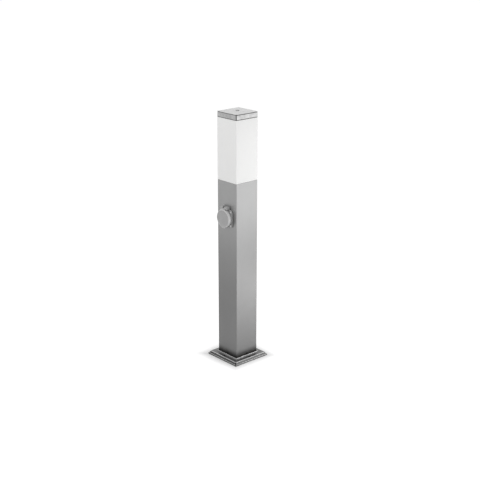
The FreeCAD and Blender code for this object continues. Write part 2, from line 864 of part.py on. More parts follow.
def make_earth_stud():
    body = new_body("earth_stud")
    back = d.bracket_back
    up = POST_FOOT + d.earth_stud_up
    stud = new_sketch(body, "stud_outline", "XZ_Plane", -back)
    fastener(stud, d.earth_stud_radius, 0.0, up)
    pad(body, "stud", stud, d.earth_stud_length)
    head = new_sketch(body, "stud_head_outline", "XZ_Plane", -back)
    fastener(head, d.earth_stud_head, 0.0, up)
    pad(body, "stud_head", head, d.earth_stud_head_thick, reverse=True)


def make_earth_nut():
    body = new_body("earth_nut")
    up = POST_FOOT + d.earth_stud_up
    sketch = new_sketch(body, "earth_nut_outline", "XZ_Plane", -bracket_face())
    hexagon(sketch, d.earth_nut_flats, 0.0, up)
    fastener(sketch, d.earth_stud_radius, 0.0, up)
    pad(body, "earth_nut_blank", sketch, d.earth_nut_thick)


# Socket outlet, drawn in its own frame: Z points out of the post's face

def make_socket_gasket():
    body = new_body("socket_gasket")
    sketch = new_sketch(body, "gasket_outline")
    square(sketch, d.flange_side / 2, d.flange_corner)
    hidden_round(sketch, CUP_RADIUS + d.cup_play / 2)
    for x, y in corner_places(d.flange_screw_pitch / 2):
        fastener(sketch, d.flange_screw_radius + d.screw_play, x, y)
    pad(body, "gasket", sketch, d.gasket_thick)
    on_socket(body)


def make_socket_body():
    """One moulding: flange, collar, plug recess, hinge lugs, guides and earth clip slots."""
    body = new_body("socket_body")
    flange = new_sketch(body, "flange_outline", "XY_Plane", d.gasket_thick)
    square(flange, d.flange_side / 2, d.flange_corner)
    pad(body, "flange", flange, d.flange_thick)
    lug_out = d.spring_slot / 2 + d.knuckle_width + d.hinge_side_gap + d.lug_width
    tab = new_sketch(body, "hinge_tab_outline", "XY_Plane", d.gasket_thick)
    rectangle(tab, -lug_out, COLLAR_RADIUS - d.tab_root, lug_out, d.hinge_up + d.knuckle_radius)
    pad(body, "hinge_tab", tab, d.flange_thick)
    bore = new_sketch(body, "flange_bore_outline", "XY_Plane")
    circle(bore, d.recess_radius)
    pocket(body, "flange_bore", bore, FLANGE_FRONT + d.cut_over, reverse=True)
    inside = d.gasket_thick + d.root_in
    cup = new_sketch(body, "cup_profile", "XZ_Plane")
    outline(cup, [
        (0.0, CUP_BACK), (CUP_RADIUS, CUP_BACK), (CUP_RADIUS, inside), (COLLAR_RADIUS, inside),
        (COLLAR_RADIUS, COLLAR_FRONT - d.collar_bevel), (COLLAR_RADIUS - d.collar_bevel, COLLAR_FRONT),
        (d.recess_radius, COLLAR_FRONT),
        (d.recess_radius, RECESS_FLOOR), (0.0, RECESS_FLOOR),
    ])
    revolve(body, "cup", cup)
    lug = new_sketch(body, "lug_outline", "YZ_Plane", lug_out - d.lug_width)
    reach = d.knuckle_radius
    outline(lug, [
        (d.hinge_up - reach, inside), (d.hinge_up + reach, inside),
        (d.hinge_up + reach, d.hinge_out), (d.hinge_up, d.hinge_out + reach, reach, -1),
        (d.hinge_up - reach, d.hinge_out, reach, -1),
    ])
    right = pad(body, "lug_right", lug, d.lug_width)
    mirror(body, "lug_left", [right], "YZ_Plane")
    eye = new_sketch(body, "lug_eye_outline", "YZ_Plane", lug_out + d.cut_over)
    circle(eye, d.hinge_pin_radius + d.hinge_pin_fit, d.hinge_up, d.hinge_out)
    pocket(body, "lug_eyes", eye, (lug_out + d.cut_over) * 2)
    guide = new_sketch(body, "guide_outline", "XY_Plane", RECESS_FLOOR)
    near = d.recess_radius - d.guide_reach
    rectangle(guide, near, -d.guide_width / 2, d.recess_radius + d.cup_wall / 2, d.guide_width / 2)
    right = pad(body, "guide_right", guide, d.recess_depth - d.guide_short)
    mirror(body, "guide_left", [right], "YZ_Plane")
    holes = new_sketch(body, "pin_hole_outline", "XY_Plane", CUP_BACK)
    for sign in (-1, 1):
        circle(holes, d.pin_hole_radius, d.pin_pitch / 2 * sign, 0.0)
    pocket(body, "pin_holes", holes, d.cup_floor, reverse=True)
    slot = new_sketch(body, "clip_slot_outline", "XY_Plane", CUP_BACK)
    clip_half = d.earth_clip_width / 2 + d.screw_play
    outer = d.recess_radius + d.clip_slot_out
    rectangle(slot, -clip_half, outer - d.earth_clip_thick - d.clip_slot_room, clip_half, outer)
    top = pocket(body, "clip_slot_top", slot, d.cup_floor + d.earth_clip_rise + d.cut_over, reverse=True)
    mirror(body, "clip_slot_bottom", [top], "XZ_Plane")
    blind = new_sketch(body, "base_screw_hole_outline", "XY_Plane", CUP_BACK)
    for sign in (-1, 1):
        fastener(blind, d.small_screw_radius, d.base_screw_side * sign, d.base_screw_up * sign)
    pocket(body, "base_screw_holes", blind, d.cup_floor - d.base_screw_wall, reverse=True)
    fixing = new_sketch(body, "flange_hole_outline", "XY_Plane")
    for x, y in corner_places(d.flange_screw_pitch / 2):
        fastener(fixing, d.flange_screw_radius + d.thread_play, x, y)
    pocket(body, "flange_holes", fixing, FLANGE_FRONT + d.cut_over, reverse=True)
    on_socket(body)


def make_contact_base():
    """Moulded block that carries the contacts and the wire terminals."""
    body = new_body("contact_base")
    sketch = new_sketch(body, "base_outline", "XY_Plane", BLOCK_BACK)
    fastener(sketch, CUP_RADIUS - d.base_block_inset)
    pad(body, "base_block", sketch, d.base_block_depth)
    bores = new_sketch(body, "contact_bore_outline", "XY_Plane", BLOCK_FRONT)
    for sign in (-1, 1):
        fastener(bores, contact_outer() + d.thread_play, d.pin_pitch / 2 * sign, 0.0)
    pocket(body, "contact_bores", bores, d.contact_length + d.screw_play)
    for sign in (-1, 1):
        name = "wire_port_left" if sign < 0 else "wire_port_right"
        port = new_sketch(body, name + "_outline", "XY_Plane", BLOCK_BACK)
        fastener(port, d.wire_port_radius, d.pin_pitch / 2 * sign, -d.wire_port_drop)
        pocket(body, name, port, d.wire_port_depth, reverse=True)
    screws = new_sketch(body, "base_fixing_outline", "XY_Plane", BLOCK_BACK)
    for sign in (-1, 1):
        side, up = d.base_screw_side * sign, d.base_screw_up * sign
        fastener(screws, d.small_screw_radius + d.thread_play, side, up)
    pocket(body, "base_fixings", screws, d.base_block_depth + d.cut_over, reverse=True)
    on_socket(body)


def contact_outer():
    return d.contact_radius + d.contact_wall


def make_contact(label, sign):
    """Sprung sleeve that takes one plug pin, split along one side."""
    body = new_body(label)
    sketch = new_sketch(body, label + "_outline", "XY_Plane", BLOCK_FRONT)
    fastener(sketch, contact_outer(), d.pin_pitch / 2 * sign, 0.0)
    fastener(sketch, d.contact_radius, d.pin_pitch / 2 * sign, 0.0)
    pad(body, label + "_sleeve", sketch, d.contact_length, reverse=True)
    slit = new_sketch(body, label + "_slit_outline", "XY_Plane", BLOCK_FRONT)
    start = d.pin_pitch / 2 * sign
    rectangle(slit, start - d.contact_slit / 2, 0.0, start + d.contact_slit / 2, contact_outer() + d.cut_over)
    pocket(body, label + "_slit", slit, d.contact_slit_length)
    on_socket(body)


def make_earth_strap():
    """One bent strip: its two ends come up the side of the recess as earth clips."""
    body = new_body("earth_strap")
    thick = d.earth_clip_thick
    outer = d.recess_radius + d.clip_side_gap
    tip = RECESS_FLOOR + d.earth_clip_rise
    bend = tip - d.clip_tip
    leant = outer - d.clip_lean
    end = outer - d.clip_tip_in
    side = new_sketch(body, "strap_side", "YZ_Plane")
    outline(side, [
        (-outer, CUP_BACK - thick), (outer, CUP_BACK - thick), (outer, RECESS_FLOOR), (leant, bend),
        (end, tip), (end - thick, tip), (leant - thick, bend), (outer - thick, RECESS_FLOOR),
        (outer - thick, CUP_BACK), (thick - outer, CUP_BACK), (thick - outer, RECESS_FLOOR),
        (thick - leant, bend), (thick - end, tip), (-end, tip), (-leant, bend), (-outer, RECESS_FLOOR),
    ])
    pad(body, "strap", side, d.earth_clip_width, midplane=True)
    on_socket(body)


def make_contact_base_screws():
    body = new_body("contact_base_screws")
    tip = RECESS_FLOOR - d.base_screw_wall
    for sign in (-1, 1):
        name = "base_screw_low" if sign < 0 else "base_screw_high"
        x = d.base_screw_side * sign
        y = d.base_screw_up * sign
        shank = new_sketch(body, name + "_shank", "XY_Plane", BLOCK_BACK)
        fastener(shank, d.small_screw_radius, x, y)
        pad(body, name + "_body", shank, tip - BLOCK_BACK)
        head = new_sketch(body, name + "_head", "XY_Plane", BLOCK_BACK)
        fastener(head, d.small_screw_head, x, y)
        pad(body, name + "_crown", head, d.small_screw_head_thick, reverse=True)
    on_socket(body)


def make_backing_plate():
    """Steel plate behind the post's wall that the flange screws pull against."""
    body = new_body("backing_plate")
    sketch = new_sketch(body, "backing_outline", "XY_Plane", -d.post_wall - d.backing_thick)
    square(sketch, d.backing_side / 2)
    hidden_round(sketch, CUP_RADIUS + d.cup_play)
    for x, y in corner_places(d.flange_screw_pitch / 2):
        fastener(sketch, d.flange_screw_radius, x, y)
    pad(body, "backing", sketch, d.backing_thick)
    on_socket(body)


def make_flange_screws():
    body = new_body("flange_screws")
    half = d.flange_screw_pitch / 2
    tip = FLANGE_FRONT + d.post_wall + d.backing_thick + d.cut_over
    names = ("upper_right", "upper_left", "lower_left", "lower_right")
    for name, (x, y) in zip(names, corner_places(half)):
        shank = new_sketch(body, name + "_shank", "XY_Plane", FLANGE_FRONT)
        fastener(shank, d.flange_screw_radius, x, y)
        pad(body, name + "_body", shank, tip, reverse=True)
        head = new_sketch(body, name + "_head", "XY_Plane", FLANGE_FRONT)
        fastener(head, d.flange_screw_head, x, y)
        pad(body, name + "_crown", head, d.flange_screw_head_thick)
    on_socket(body)


# Lid and hinge

def knuckle_out():
    return d.spring_slot / 2 + d.knuckle_width


def make_socket_lid():
    body = new_body("socket_lid")
    radius = d.lid_radius
    inner = radius - d.lid_wall
    dished = radius - d.lid_rim
    shell = new_sketch(body, "lid_profile", "XZ_Plane")
    outline(shell, [
        (0.0, LID_INSIDE), (inner, LID_INSIDE), (inner, LID_BACK), (radius, LID_BACK),
        (radius, LID_FRONT - d.lid_round), (radius - d.lid_round, LID_FRONT), (dished, LID_FRONT),
        (dished - d.lid_dish, LID_FRONT - d.lid_dish), (0.0, LID_FRONT - d.lid_dish),
    ])
    revolve(body, "shell", shell)
    arm = new_sketch(body, "arm_outline", "YZ_Plane")
    top = d.hinge_out + d.knuckle_radius
    under = top - d.hinge_web
    reach = d.knuckle_radius
    root = inner + d.arm_root
    outline(arm, [
        (root, under), (d.hinge_up, under), (d.hinge_up, top), (root, top),
    ])
    pad(body, "arm", arm, knuckle_out() * 2, midplane=True)
    knuckle = new_sketch(body, "knuckle_outline", "YZ_Plane")
    circle(knuckle, reach, d.hinge_up, d.hinge_out)
    pad(body, "knuckle", knuckle, knuckle_out() * 2, midplane=True)
    slot = new_sketch(body, "spring_slot_outline", "YZ_Plane")
    near = radius + d.arm_root
    far = d.hinge_up + reach + d.cut_over
    low = d.hinge_out - reach - d.cut_over
    lip = d.hinge_up + d.spring_slot_lip
    outline(slot, [
        (near, low), (far, low), (far, top + d.cut_over),
        (lip, top + d.cut_over), (lip, under), (near, under),
    ])
    pocket(body, "spring_slot", slot, d.spring_slot, midplane=True)
    eye = new_sketch(body, "knuckle_eye_outline", "YZ_Plane")
    circle(eye, d.hinge_pin_radius + d.hinge_pin_play, d.hinge_up, d.hinge_out)
    pocket(body, "knuckle_eyes", eye, (knuckle_out() + d.cut_over) * 2, midplane=True)
    tab = new_sketch(body, "thumb_tab_outline", "XY_Plane", LID_FRONT - d.lid_round - d.lid_tab_thick)
    half = d.lid_tab_width / 2
    rectangle(tab, -half, -radius - d.lid_tab_reach, half, -inner - d.thread_play)
    pad(body, "thumb_tab", tab, d.lid_tab_thick)
    on_socket(body)


def make_lid_gasket():
    """Rubber disc inside the lid that closes on the collar's rim."""
    body = new_body("lid_gasket")
    sketch = new_sketch(body, "lid_gasket_outline", "XY_Plane", COLLAR_FRONT + d.lid_seal_gap)
    circle(sketch, d.lid_radius - d.lid_wall)
    pad(body, "lid_gasket_disc", sketch, d.lid_seal_thick)
    on_socket(body)


def make_hinge_pin():
    body = new_body("hinge_pin")
    length = (knuckle_out() + d.hinge_side_gap + d.lug_width) * 2
    sketch = new_sketch(body, "pin_outline", "YZ_Plane")
    circle(sketch, d.hinge_pin_radius, d.hinge_up, d.hinge_out)
    pad(body, "pin", sketch, length, midplane=True)
    on_socket(body)


def arc_from_tangent(start, tangent, end):
    """The arc that leaves start along tangent and ends at end."""
    chord = end.sub(start)
    length = chord.Length
    along = FreeCAD.Vector(chord)
    along.normalize()
    across = tangent.sub(along * tangent.dot(along))
    across.normalize()
    angle = tangent.getAngle(along)
    middle = start.add(chord * 0.5).add(across * (length / 2 * math.tan(angle / 2)))
    return Part.Arc(start, middle, end).toShape()


def biarc(start, leaving, end, arriving):
    """Two arcs that join start to end with the given directions at both."""
    gap = end.sub(start)
    both = leaving.add(arriving)
    spread = 2 * (1 - leaving.dot(arriving))
    side = gap.dot(both)
    reach = (-side + math.sqrt(side * side + spread * gap.dot(gap))) / spread
    joint = (start.add(end).add(leaving.sub(arriving) * reach)) * 0.5
    first = arc_from_tangent(start, leaving, joint)
    back = joint.sub(end)
    back_tangent = arriving * -1.0
    second = arc_from_tangent(end, back_tangent, joint)
    halfway = second.valueAt((second.FirstParameter + second.LastParameter) / 2)
    return [first, Part.Arc(joint, halfway, end).toShape()]


def make_lid_spring():
    """Torsion spring round the hinge pin: a coil with one leg on the flange and one on the lid."""
    wire = d.spring_wire.number
    radius = d.spring_radius.number
    pitch = d.spring_pitch.number
    turns = d.spring_turns.number
    start = -pitch * turns / 2
    up = d.hinge_up.number
    out = d.hinge_out.number

    def point(turn):
        angle = 2 * math.pi * turn
        height = up + radius * math.sin(angle)
        return FreeCAD.Vector(start + pitch * turn, height, out - radius * math.cos(angle))

    def direction(turn):
        angle = 2 * math.pi * turn
        along = FreeCAD.Vector(pitch / (2 * math.pi * radius), math.cos(angle), math.sin(angle))
        along.normalize()
        return along

    edges = []
    steps = int(round(turns * 2))
    for step in range(steps):
        a = turns * step / steps
        b = turns * (step + 1) / steps
        edges += biarc(point(a), direction(a), point(b), direction(b))
    leg = d.spring_leg.number
    first = point(0.0)
    tail = first.sub(direction(0.0) * leg)
    last = point(turns)
    tip = last.add(direction(turns) * leg)
    path = [Part.LineSegment(tail, first).toShape()] + edges + [Part.LineSegment(last, tip).toShape()]
    spine = Part.Wire(path)
    ring = flat_sided_ring(tail, direction(0.0), wire / 2, WIRE_SIDES)
    coil = spine.makePipeShell([ring], True, False)
    feature = doc.addObject("Part::Feature", "lid_spring")
    feature.Label = "lid_spring"
    feature.Shape = coil
    pieces.append(feature)
    on_socket(feature)
    points = [point(turns * step / GAP_POINT_COUNT) for step in range(GAP_POINT_COUNT + 1)]
    apart = int(GAP_POINT_COUNT / turns * GAP_TURN_SHARE)
    least = min(
        a.distanceToPoint(b) for index, a in enumerate(points) for b in points[index + apart:]
    )
    print("lid_spring turns %.1f, least gap to itself %.2f mm" % (turns, least - wire))


# Head of the post, diffuser and cap

def make_head_tray():
    body = new_body("head_tray")
    half = BORE_HALF
    outside = new_sketch(body, "tray_outline", "XY_Plane", TRAY_TOP - d.tray_flange)
    square(outside, half)
    pad(body, "tray", outside, d.tray_flange)
    inside = new_sketch(body, "tray_hollow_outline", "XY_Plane", TRAY_TOP - d.tray_flange)
    square(inside, half - d.tray_sheet)
    pocket(body, "tray_hollow", inside, d.tray_flange - d.tray_sheet, reverse=True)
    holes = new_sketch(body, "tray_hole_outline", "XY_Plane", TRAY_TOP, turn=45)
    fastener(holes, d.nipple_radius + d.screw_play)
    for sign in (-1, 1):
        fastener(holes, d.rod_radius + d.thread_play, d.rod_spacing / 2 * sign, 0.0)
    pocket(body, "tray_holes", holes, d.tray_sheet + d.cut_over)


def make_tie_rods():
    body = new_body("tie_rods")
    low = TRAY_TOP - d.tray_sheet - d.rod_nut_thick - d.rod_tail
    top = BRIDGE_TOP + d.rod_nut_thick + d.rod_head
    sketch = new_sketch(body, "rod_outline", "XY_Plane", low, turn=45)
    for sign in (-1, 1):
        fastener(sketch, d.rod_radius, d.rod_spacing / 2 * sign, 0.0)
    pad(body, "rods", sketch, top - low)


def make_rod_nuts():
    """Nuts below and above the tray and the bridge on both rods."""
    body = new_body("rod_nuts")
    seats = {
        "under_tray": TRAY_TOP - d.tray_sheet - d.rod_nut_thick,
        "over_tray": TRAY_TOP,
        "under_bridge": BRIDGE_TOP - d.bridge_thick - d.rod_nut_thick,
        "over_bridge": BRIDGE_TOP,
    }
    for name, up in seats.items():
        for side, sign in (("left", -1), ("right", 1)):
            x = d.rod_spacing / 2 * sign
            nut(body, name + "_" + side, d.rod_nut_flats, d.rod_nut_thick, d.rod_radius, up, x, 45)


def make_top_bridge():
    body = new_body("top_bridge")
    half = d.rod_spacing / 2 + d.rod_radius * 2
    sketch = new_sketch(body, "bridge_outline", "XY_Plane", BRIDGE_TOP - d.bridge_thick, turn=45)
    rectangle(sketch, -half, -d.bridge_width / 2, half, d.bridge_width / 2)
    fastener(sketch, d.cap_screw_radius)
    for sign in (-1, 1):
        fastener(sketch, d.rod_radius + 0.1, d.rod_spacing / 2 * sign, 0.0)
    pad(body, "bridge", sketch, d.bridge_thick)


def make_diffuser():
    """Opal square tube, flush with the post, with a thin spigot at each end."""
    body = new_body("diffuser")
    tube = new_sketch(body, "diffuser_outline", "XY_Plane", POST_TOP)
    square(tube, HALF, d.post_corner)
    pad(body, "diffuser_tube", tube, d.diffuser_length)
    top = new_sketch(body, "top_spigot_outline", "XY_Plane", DIFFUSER_TOP)
    square(top, SPIGOT_HALF)
    pad(body, "top_spigot", top, SPIGOT_TOP - DIFFUSER_TOP)
    foot = new_sketch(body, "foot_spigot_outline", "XY_Plane", SPIGOT_FOOT)
    square(foot, SPIGOT_HALF)
    pad(body, "foot_spigot", foot, POST_TOP - SPIGOT_FOOT)
    bore = new_sketch(body, "diffuser_bore_outline", "XY_Plane", SPIGOT_FOOT)
    square(bore, DIFFUSER_BORE)
    pocket(body, "diffuser_bore", bore, SPIGOT_TOP - SPIGOT_FOOT, reverse=True)


def make_frame_gasket(label, low):
    """Flat rubber frame under or over one spigot of the diffuser."""
    body = new_body(label)
    sketch = new_sketch(body, label + "_outline", "XY_Plane", low)
    square(sketch, SPIGOT_HALF)
    square(sketch, DIFFUSER_BORE)
    pad(body, label + "_frame", sketch, d.seat_gasket)


def make_cap():
    """Folded sheet cap: skirt flush with the diffuser, top rising a little to a flat crown."""
    body = new_body("cap")
    inner = HALF - d.cap_sheet
    crown = d.cap_crown / 2
    skirt = new_sketch(body, "skirt_outline", "XY_Plane", DIFFUSER_TOP)
    square(skirt, HALF)
    pad(body, "skirt", skirt, d.cap_skirt)
    tapered_block(body, "Additive", "top", CAP_EDGE, HALF, CAP_TOP, crown)
    hollow = new_sketch(body, "hollow_outline", "XY_Plane", DIFFUSER_TOP)
    square(hollow, inner)
    pocket(body, "hollow", hollow, d.cap_skirt - d.cap_sheet, reverse=True)
    tapered_block(body, "Subtractive", "under_top",
                  CAP_EDGE - d.cap_sheet, inner, CAP_TOP - d.cap_sheet, crown)
    screw = new_sketch(body, "cap_hole_outline", "XY_Plane", CAP_TOP)
    fastener(screw, d.cap_screw_radius + d.screw_play, 0.0, 0.0)
    pocket(body, "cap_hole", screw, d.cap_sheet + d.cut_over)
    seam = new_sketch(body, "cap_seam_outline", "XY_Plane", DIFFUSER_TOP, turn=45)
    rectangle(seam, inner * math.sqrt(2) - d.cut_over / 2, -d.cap_seam_width / 2,
              HALF * math.sqrt(2) + d.cut_over, d.cap_seam_width / 2)
    slit = pocket(body, "cap_seam", seam, d.cap_skirt - d.cap_sheet, reverse=True)
    polar(body, "cap_seams", [slit], 4)


def make_cap_washer():
    body = new_body("cap_washer")
    sketch = new_sketch(body, "washer_outline", "XY_Plane", CAP_TOP)
    hidden_round(sketch, d.cap_washer_radius)
    fastener(sketch, d.cap_screw_radius + d.screw_play)
    pad(body, "washer", sketch, d.cap_washer_thick)


def make_cap_screw():
    body = new_body("cap_screw")
    seat = CAP_TOP + d.cap_washer_thick
    tip = BRIDGE_TOP - d.bridge_thick - d.cap_screw_tail
    shank = new_sketch(body, "cap_screw_shank_outline", "XY_Plane", tip, turn=45)
    fastener(shank, d.cap_screw_radius)
    pad(body, "cap_screw_shank", shank, seat - tip)
    crown = new_sketch(body, "cap_screw_head_outline", "XY_Plane", seat, turn=45)
    fastener(crown, d.cap_screw_head)
    pad(body, "cap_screw_crown", crown, d.cap_screw_head_thick)


# Lamp and lamp holder, drawn upwards from the top of the tray

def make_lamp_nipple():
    """Threaded tube that holds the lamp holder down on the tray and lets the lead in."""
    body = new_body("lamp_nipple")
    sketch = new_sketch(body, "nipple_outline", "XY_Plane", TRAY_TOP - d.nipple_below)
    fastener(sketch, d.nipple_radius)
    fastener(sketch, d.nipple_bore)
    pad(body, "nipple", sketch, d.nipple_below + d.nipple_above)


def make_nipple_nut():
    body = new_body("nipple_nut")
    up = TRAY_TOP - d.tray_sheet - d.nipple_nut_thick
    nut(body, "nipple_nut_blank", d.nipple_nut_flats, d.nipple_nut_thick, d.nipple_radius, up)


def make_lamp_holder():
    """Moulded holder: a foot on the tray and a barrel that takes the lamp's cap."""
    body = new_body("lamp_holder")
    foot = new_sketch(body, "holder_foot_outline", "XY_Plane", TRAY_TOP)
    hidden_round(foot, d.holder_neck)
    pad(body, "holder_foot", foot, d.holder_floor)
    barrel = new_sketch(body, "barrel_outline", "XY_Plane", TRAY_TOP + d.holder_floor / 2)
    hidden_round(barrel, d.holder_radius)
    pad(body, "barrel", barrel, d.holder_height - d.holder_floor / 2)
    bore = new_sketch(body, "barrel_bore_outline", "XY_Plane", TRAY_TOP + d.holder_floor)
    hidden_round(bore, HOLDER_BORE)
    pocket(body, "barrel_bore", bore, d.holder_height, reverse=True)
    entry = new_sketch(body, "nipple_hole_outline", "XY_Plane", TRAY_TOP)
    fastener(entry, d.nipple_radius)
    pocket(body, "nipple_hole", entry, d.holder_floor + d.cut_over, reverse=True)


def make_holder_contact():
    """Spring strip across the holder's floor that presses on the lamp's tip."""
    body = new_body("holder_contact")
    low = d.holder_floor
    thick = d.contact_strip
    end = d.contact_strip_half
    foot = end / 2
    shoulder = end / 4
    side = new_sketch(body, "contact_side", "XZ_Plane")
    outline(side, [
        (-end, low), (-foot, low), (-shoulder, LAMP_TIP - thick), (shoulder, LAMP_TIP - thick),
        (foot, low), (end, low), (end, low + thick), (foot + thick / 2, low + thick),
        (shoulder + thick / 2, LAMP_TIP), (-shoulder - thick / 2, LAMP_TIP),
        (-foot - thick / 2, low + thick), (-end, low + thick),
    ])
    pad(body, "contact_strip", side, d.contact_strip_width, midplane=True)
    place(body, z=TRAY_TOP)


def make_lamp_cap():
    """Screw cap of the lamp with its tip; the thread itself is left plain."""
    body = new_body("lamp_cap")
    tip = new_sketch(body, "lamp_tip_outline", "XY_Plane", TRAY_TOP + LAMP_TIP)
    fastener(tip, d.lamp_tip_radius)
    pad(body, "lamp_tip", tip, d.lamp_tip_height)
    shell = new_sketch(body, "lamp_shell_outline", "XY_Plane", TRAY_TOP + LAMP_TIP + d.lamp_tip_height)
    hidden_round(shell, d.lamp_cap_radius)
    pad(body, "lamp_shell", shell, d.lamp_cap_length - d.lamp_tip_height)


def make_lamp_neck():
    """Driver housing between the lamp's cap and its light boards."""
    body = new_body("lamp_neck")
    low = new_sketch(body, "neck_foot_outline", "XY_Plane", TRAY_TOP + LAMP_NECK_FOOT)
    hidden_round(low, d.lamp_cap_radius)
    pad(body, "neck_foot", low, d.lamp_neck_height / 2)
    neck_middle = TRAY_TOP + LAMP_NECK_FOOT + d.lamp_neck_height / 2
    high = new_sketch(body, "neck_head_outline", "XY_Plane", neck_middle)
    hidden_round(high, d.lamp_radius)
    pad(body, "neck_head", high, d.lamp_neck_height / 2)


def make_lamp_globe():
    """Many-sided column of light boards under a smaller end board."""
    body = new_body("lamp_globe")
    foot = TRAY_TOP + LAMP_GLOBE_FOOT
    column = new_sketch(body, "column_outline", "XY_Plane", foot)
    hidden_round(column, d.lamp_radius - d.lamp_globe_inset)
    pad(body, "column", column, d.lamp_globe_length - d.lamp_end_thick)
    end = new_sketch(body, "end_outline", "XY_Plane", foot + d.lamp_globe_length - d.lamp_end_thick)
    hidden_round(end, d.lamp_radius - d.lamp_end_inset)
    pad(body, "end_board", end, d.lamp_end_thick)


# Internal leads, clipped to the back wall of the post

def lead_depth():
    """How far behind the axis the leads run, touching the back wall's clips."""
    return BORE_HALF - d.clip_wall - d.lead_radius


def block_wire_depth():
    return bracket_face() - d.block_depth / 2


def block_top():
    return POST_FOOT + d.block_up + d.block_height / 2


def flat_sided_ring(centre, normal, radius, sides):
    """A closed polygon square to the normal, its corners at the radius."""
    turn = FreeCAD.Rotation(FreeCAD.Vector(0, 0, 1), normal)
    corners = []
    for step in range(sides):
        angle = 2 * math.pi * (step + 0.5) / sides
        corners.append(centre.add(turn.multVec(FreeCAD.Vector(math.cos(angle), math.sin(angle), 0)) * radius))
    return Part.makePolygon(corners + corners[:1])


def sheathed_lead(label, route):
    """A round lead along straight runs joined by tangent arcs."""
    points = [FreeCAD.Vector(*[as_size(c).number for c in p]) for p in route]
    radius = d.lead_radius.number
    edges = []
    here = points[0]
    radii = []
    for before, corner, after in zip(points, points[1:], points[2:]):
        arrive = corner.sub(before)
        leave = after.sub(corner)
        half_turn = arrive.getAngle(leave) / 2
        reach = BEND_REACH * min(arrive.Length, leave.Length)
        bend = reach / math.tan(half_turn)
        radii.append(bend)
        arrive.normalize()
        leave.normalize()
        start = corner.sub(arrive * reach)
        end = corner.add(leave * reach)
        inward = leave.sub(arrive)
        inward.normalize()
        centre = corner.add(inward * (bend / math.cos(half_turn)))
        middle = centre.sub(inward * bend)
        edges.append(Part.LineSegment(here, start).toShape())
        edges.append(Part.Arc(start, middle, end).toShape())
        here = end
    edges.append(Part.LineSegment(here, points[-1]).toShape())
    spine = Part.Wire(edges)
    ring = flat_sided_ring(points[0], points[1].sub(points[0]), radius, WIRE_SIDES)
    feature = doc.addObject("Part::Feature", label)
    feature.Label = label
    feature.Shape = spine.makePipeShell([ring], True, False)
    pieces.append(feature)
    expected = Part.Face(ring).Area * spine.Length
    shown = ", ".join("%.0f" % r for r in radii)
    print("%s length %.0f mm, bend radii %s mm" % (label, spine.Length, shown))
    if abs(feature.Shape.Volume - expected) > 0.01 * expected:
        raise RuntimeError("%s has the wrong volume" % label)


def make_lamp_lead():
    side = -(d.lead_spacing / 2)
    deep = block_wire_depth()
    wall = lead_depth()
    sheathed_lead("lamp_lead", [
        (side, deep, block_top()), (side, deep, block_top() + d.lead_rise),
        (side, wall, block_top() + d.lead_to_wall), (side, wall, TRAY_TOP - d.lead_from_wall),
        (0.0, 0.0, TRAY_TOP - d.nipple_below - d.lead_to_nipple),
        (0.0, 0.0, TRAY_TOP + d.holder_floor - d.lead_end),
    ])


def make_socket_lead():
    side = d.lead_spacing / 2
    deep = block_wire_depth()
    wall = lead_depth()
    port = SOCKET_HEIGHT - d.wire_port_drop
    sheathed_lead("socket_lead", [
        (side, deep, block_top()), (side, deep, block_top() + d.lead_rise),
        (side, wall, block_top() + d.lead_to_wall), (side, wall, port - d.lead_to_port),
        (0.0, HALF / 2, port), (0.0, -HALF - BLOCK_BACK, port),
    ])


def make_lead_clips():
    """Four saddles on the back wall, two for each lead."""
    body = new_body("lead_clips")
    wall = lead_depth()
    half = d.lead_radius + d.clip_wall
    for name, share in CLIP_SHARES:
        for sign in (-1, 1):
            side = "left" if sign < 0 else "right"
            x = d.lead_spacing / 2 * sign
            sketch = new_sketch(body, "saddle_%s_%s" % (name, side), "XY_Plane", POST_TOP * share)
            rectangle(sketch, x - half, wall - half, x + half, BORE_HALF)
            fastener(sketch, d.lead_radius + d.lead_play, x, wall)
            pad(body, "clip_%s_%s" % (name, side), sketch, d.clip_width)


def build():
    make_anchor_plate()
    make_cable_grommet()
    make_foot_sleeve()
    make_base_cover()
    make_post_seal()
    make_post_tube()
    make_post_screws()
    make_terminal_bracket()
    make_bracket_screws()
    make_terminal_block()
    make_terminal_screws()
    make_cable_clamp()
    make_clamp_screws()
    make_earth_stud()
    make_earth_nut()
    make_socket_gasket()
    make_socket_body()
    make_contact_base()
    make_contact("line_contact", -1)
    make_contact("neutral_contact", 1)
    make_earth_strap()
    make_contact_base_screws()
    make_backing_plate()
    make_flange_screws()
    make_socket_lid()
    make_lid_gasket()
    make_hinge_pin()
    make_lid_spring()
    make_head_tray()
    make_tie_rods()
    make_rod_nuts()
    make_top_bridge()
    make_diffuser()
    make_frame_gasket("diffuser_lower_gasket", TRAY_TOP)
    make_frame_gasket("diffuser_upper_gasket", SPIGOT_TOP)
    make_cap()
    make_cap_washer()
    make_cap_screw()
    make_lamp_nipple()
    make_nipple_nut()
    make_lamp_holder()
    make_holder_contact()
    make_lamp_cap()
    make_lamp_neck()
    make_lamp_globe()
    make_lamp_lead()
    make_socket_lead()
    make_lead_clips()


def check_and_export():
    doc.recompute()
    for thing in doc.Objects:
        if "Invalid" in thing.State or "Error" in thing.State:
            raise RuntimeError("%s failed: %s" % (thing.Label, thing.State))
    for piece in pieces:
        shape = piece.Shape
        if shape.isNull() or not shape.isValid() or not shape.Solids:
            raise RuntimeError("%s has no valid solid" % piece.Label)
    os.makedirs("parts", exist_ok=True)
    for piece in pieces:
        piece.Shape.exportStep(os.path.join("parts", piece.Label + ".step"))
    print("%d pieces written" % len(pieces))


build()
check_and_export()
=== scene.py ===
# Looks of the bollard light with socket: finishes, detailed pieces, stage, lamps and camera

import json
import math

import bmesh
import bpy
from mathutils import Matrix, Vector


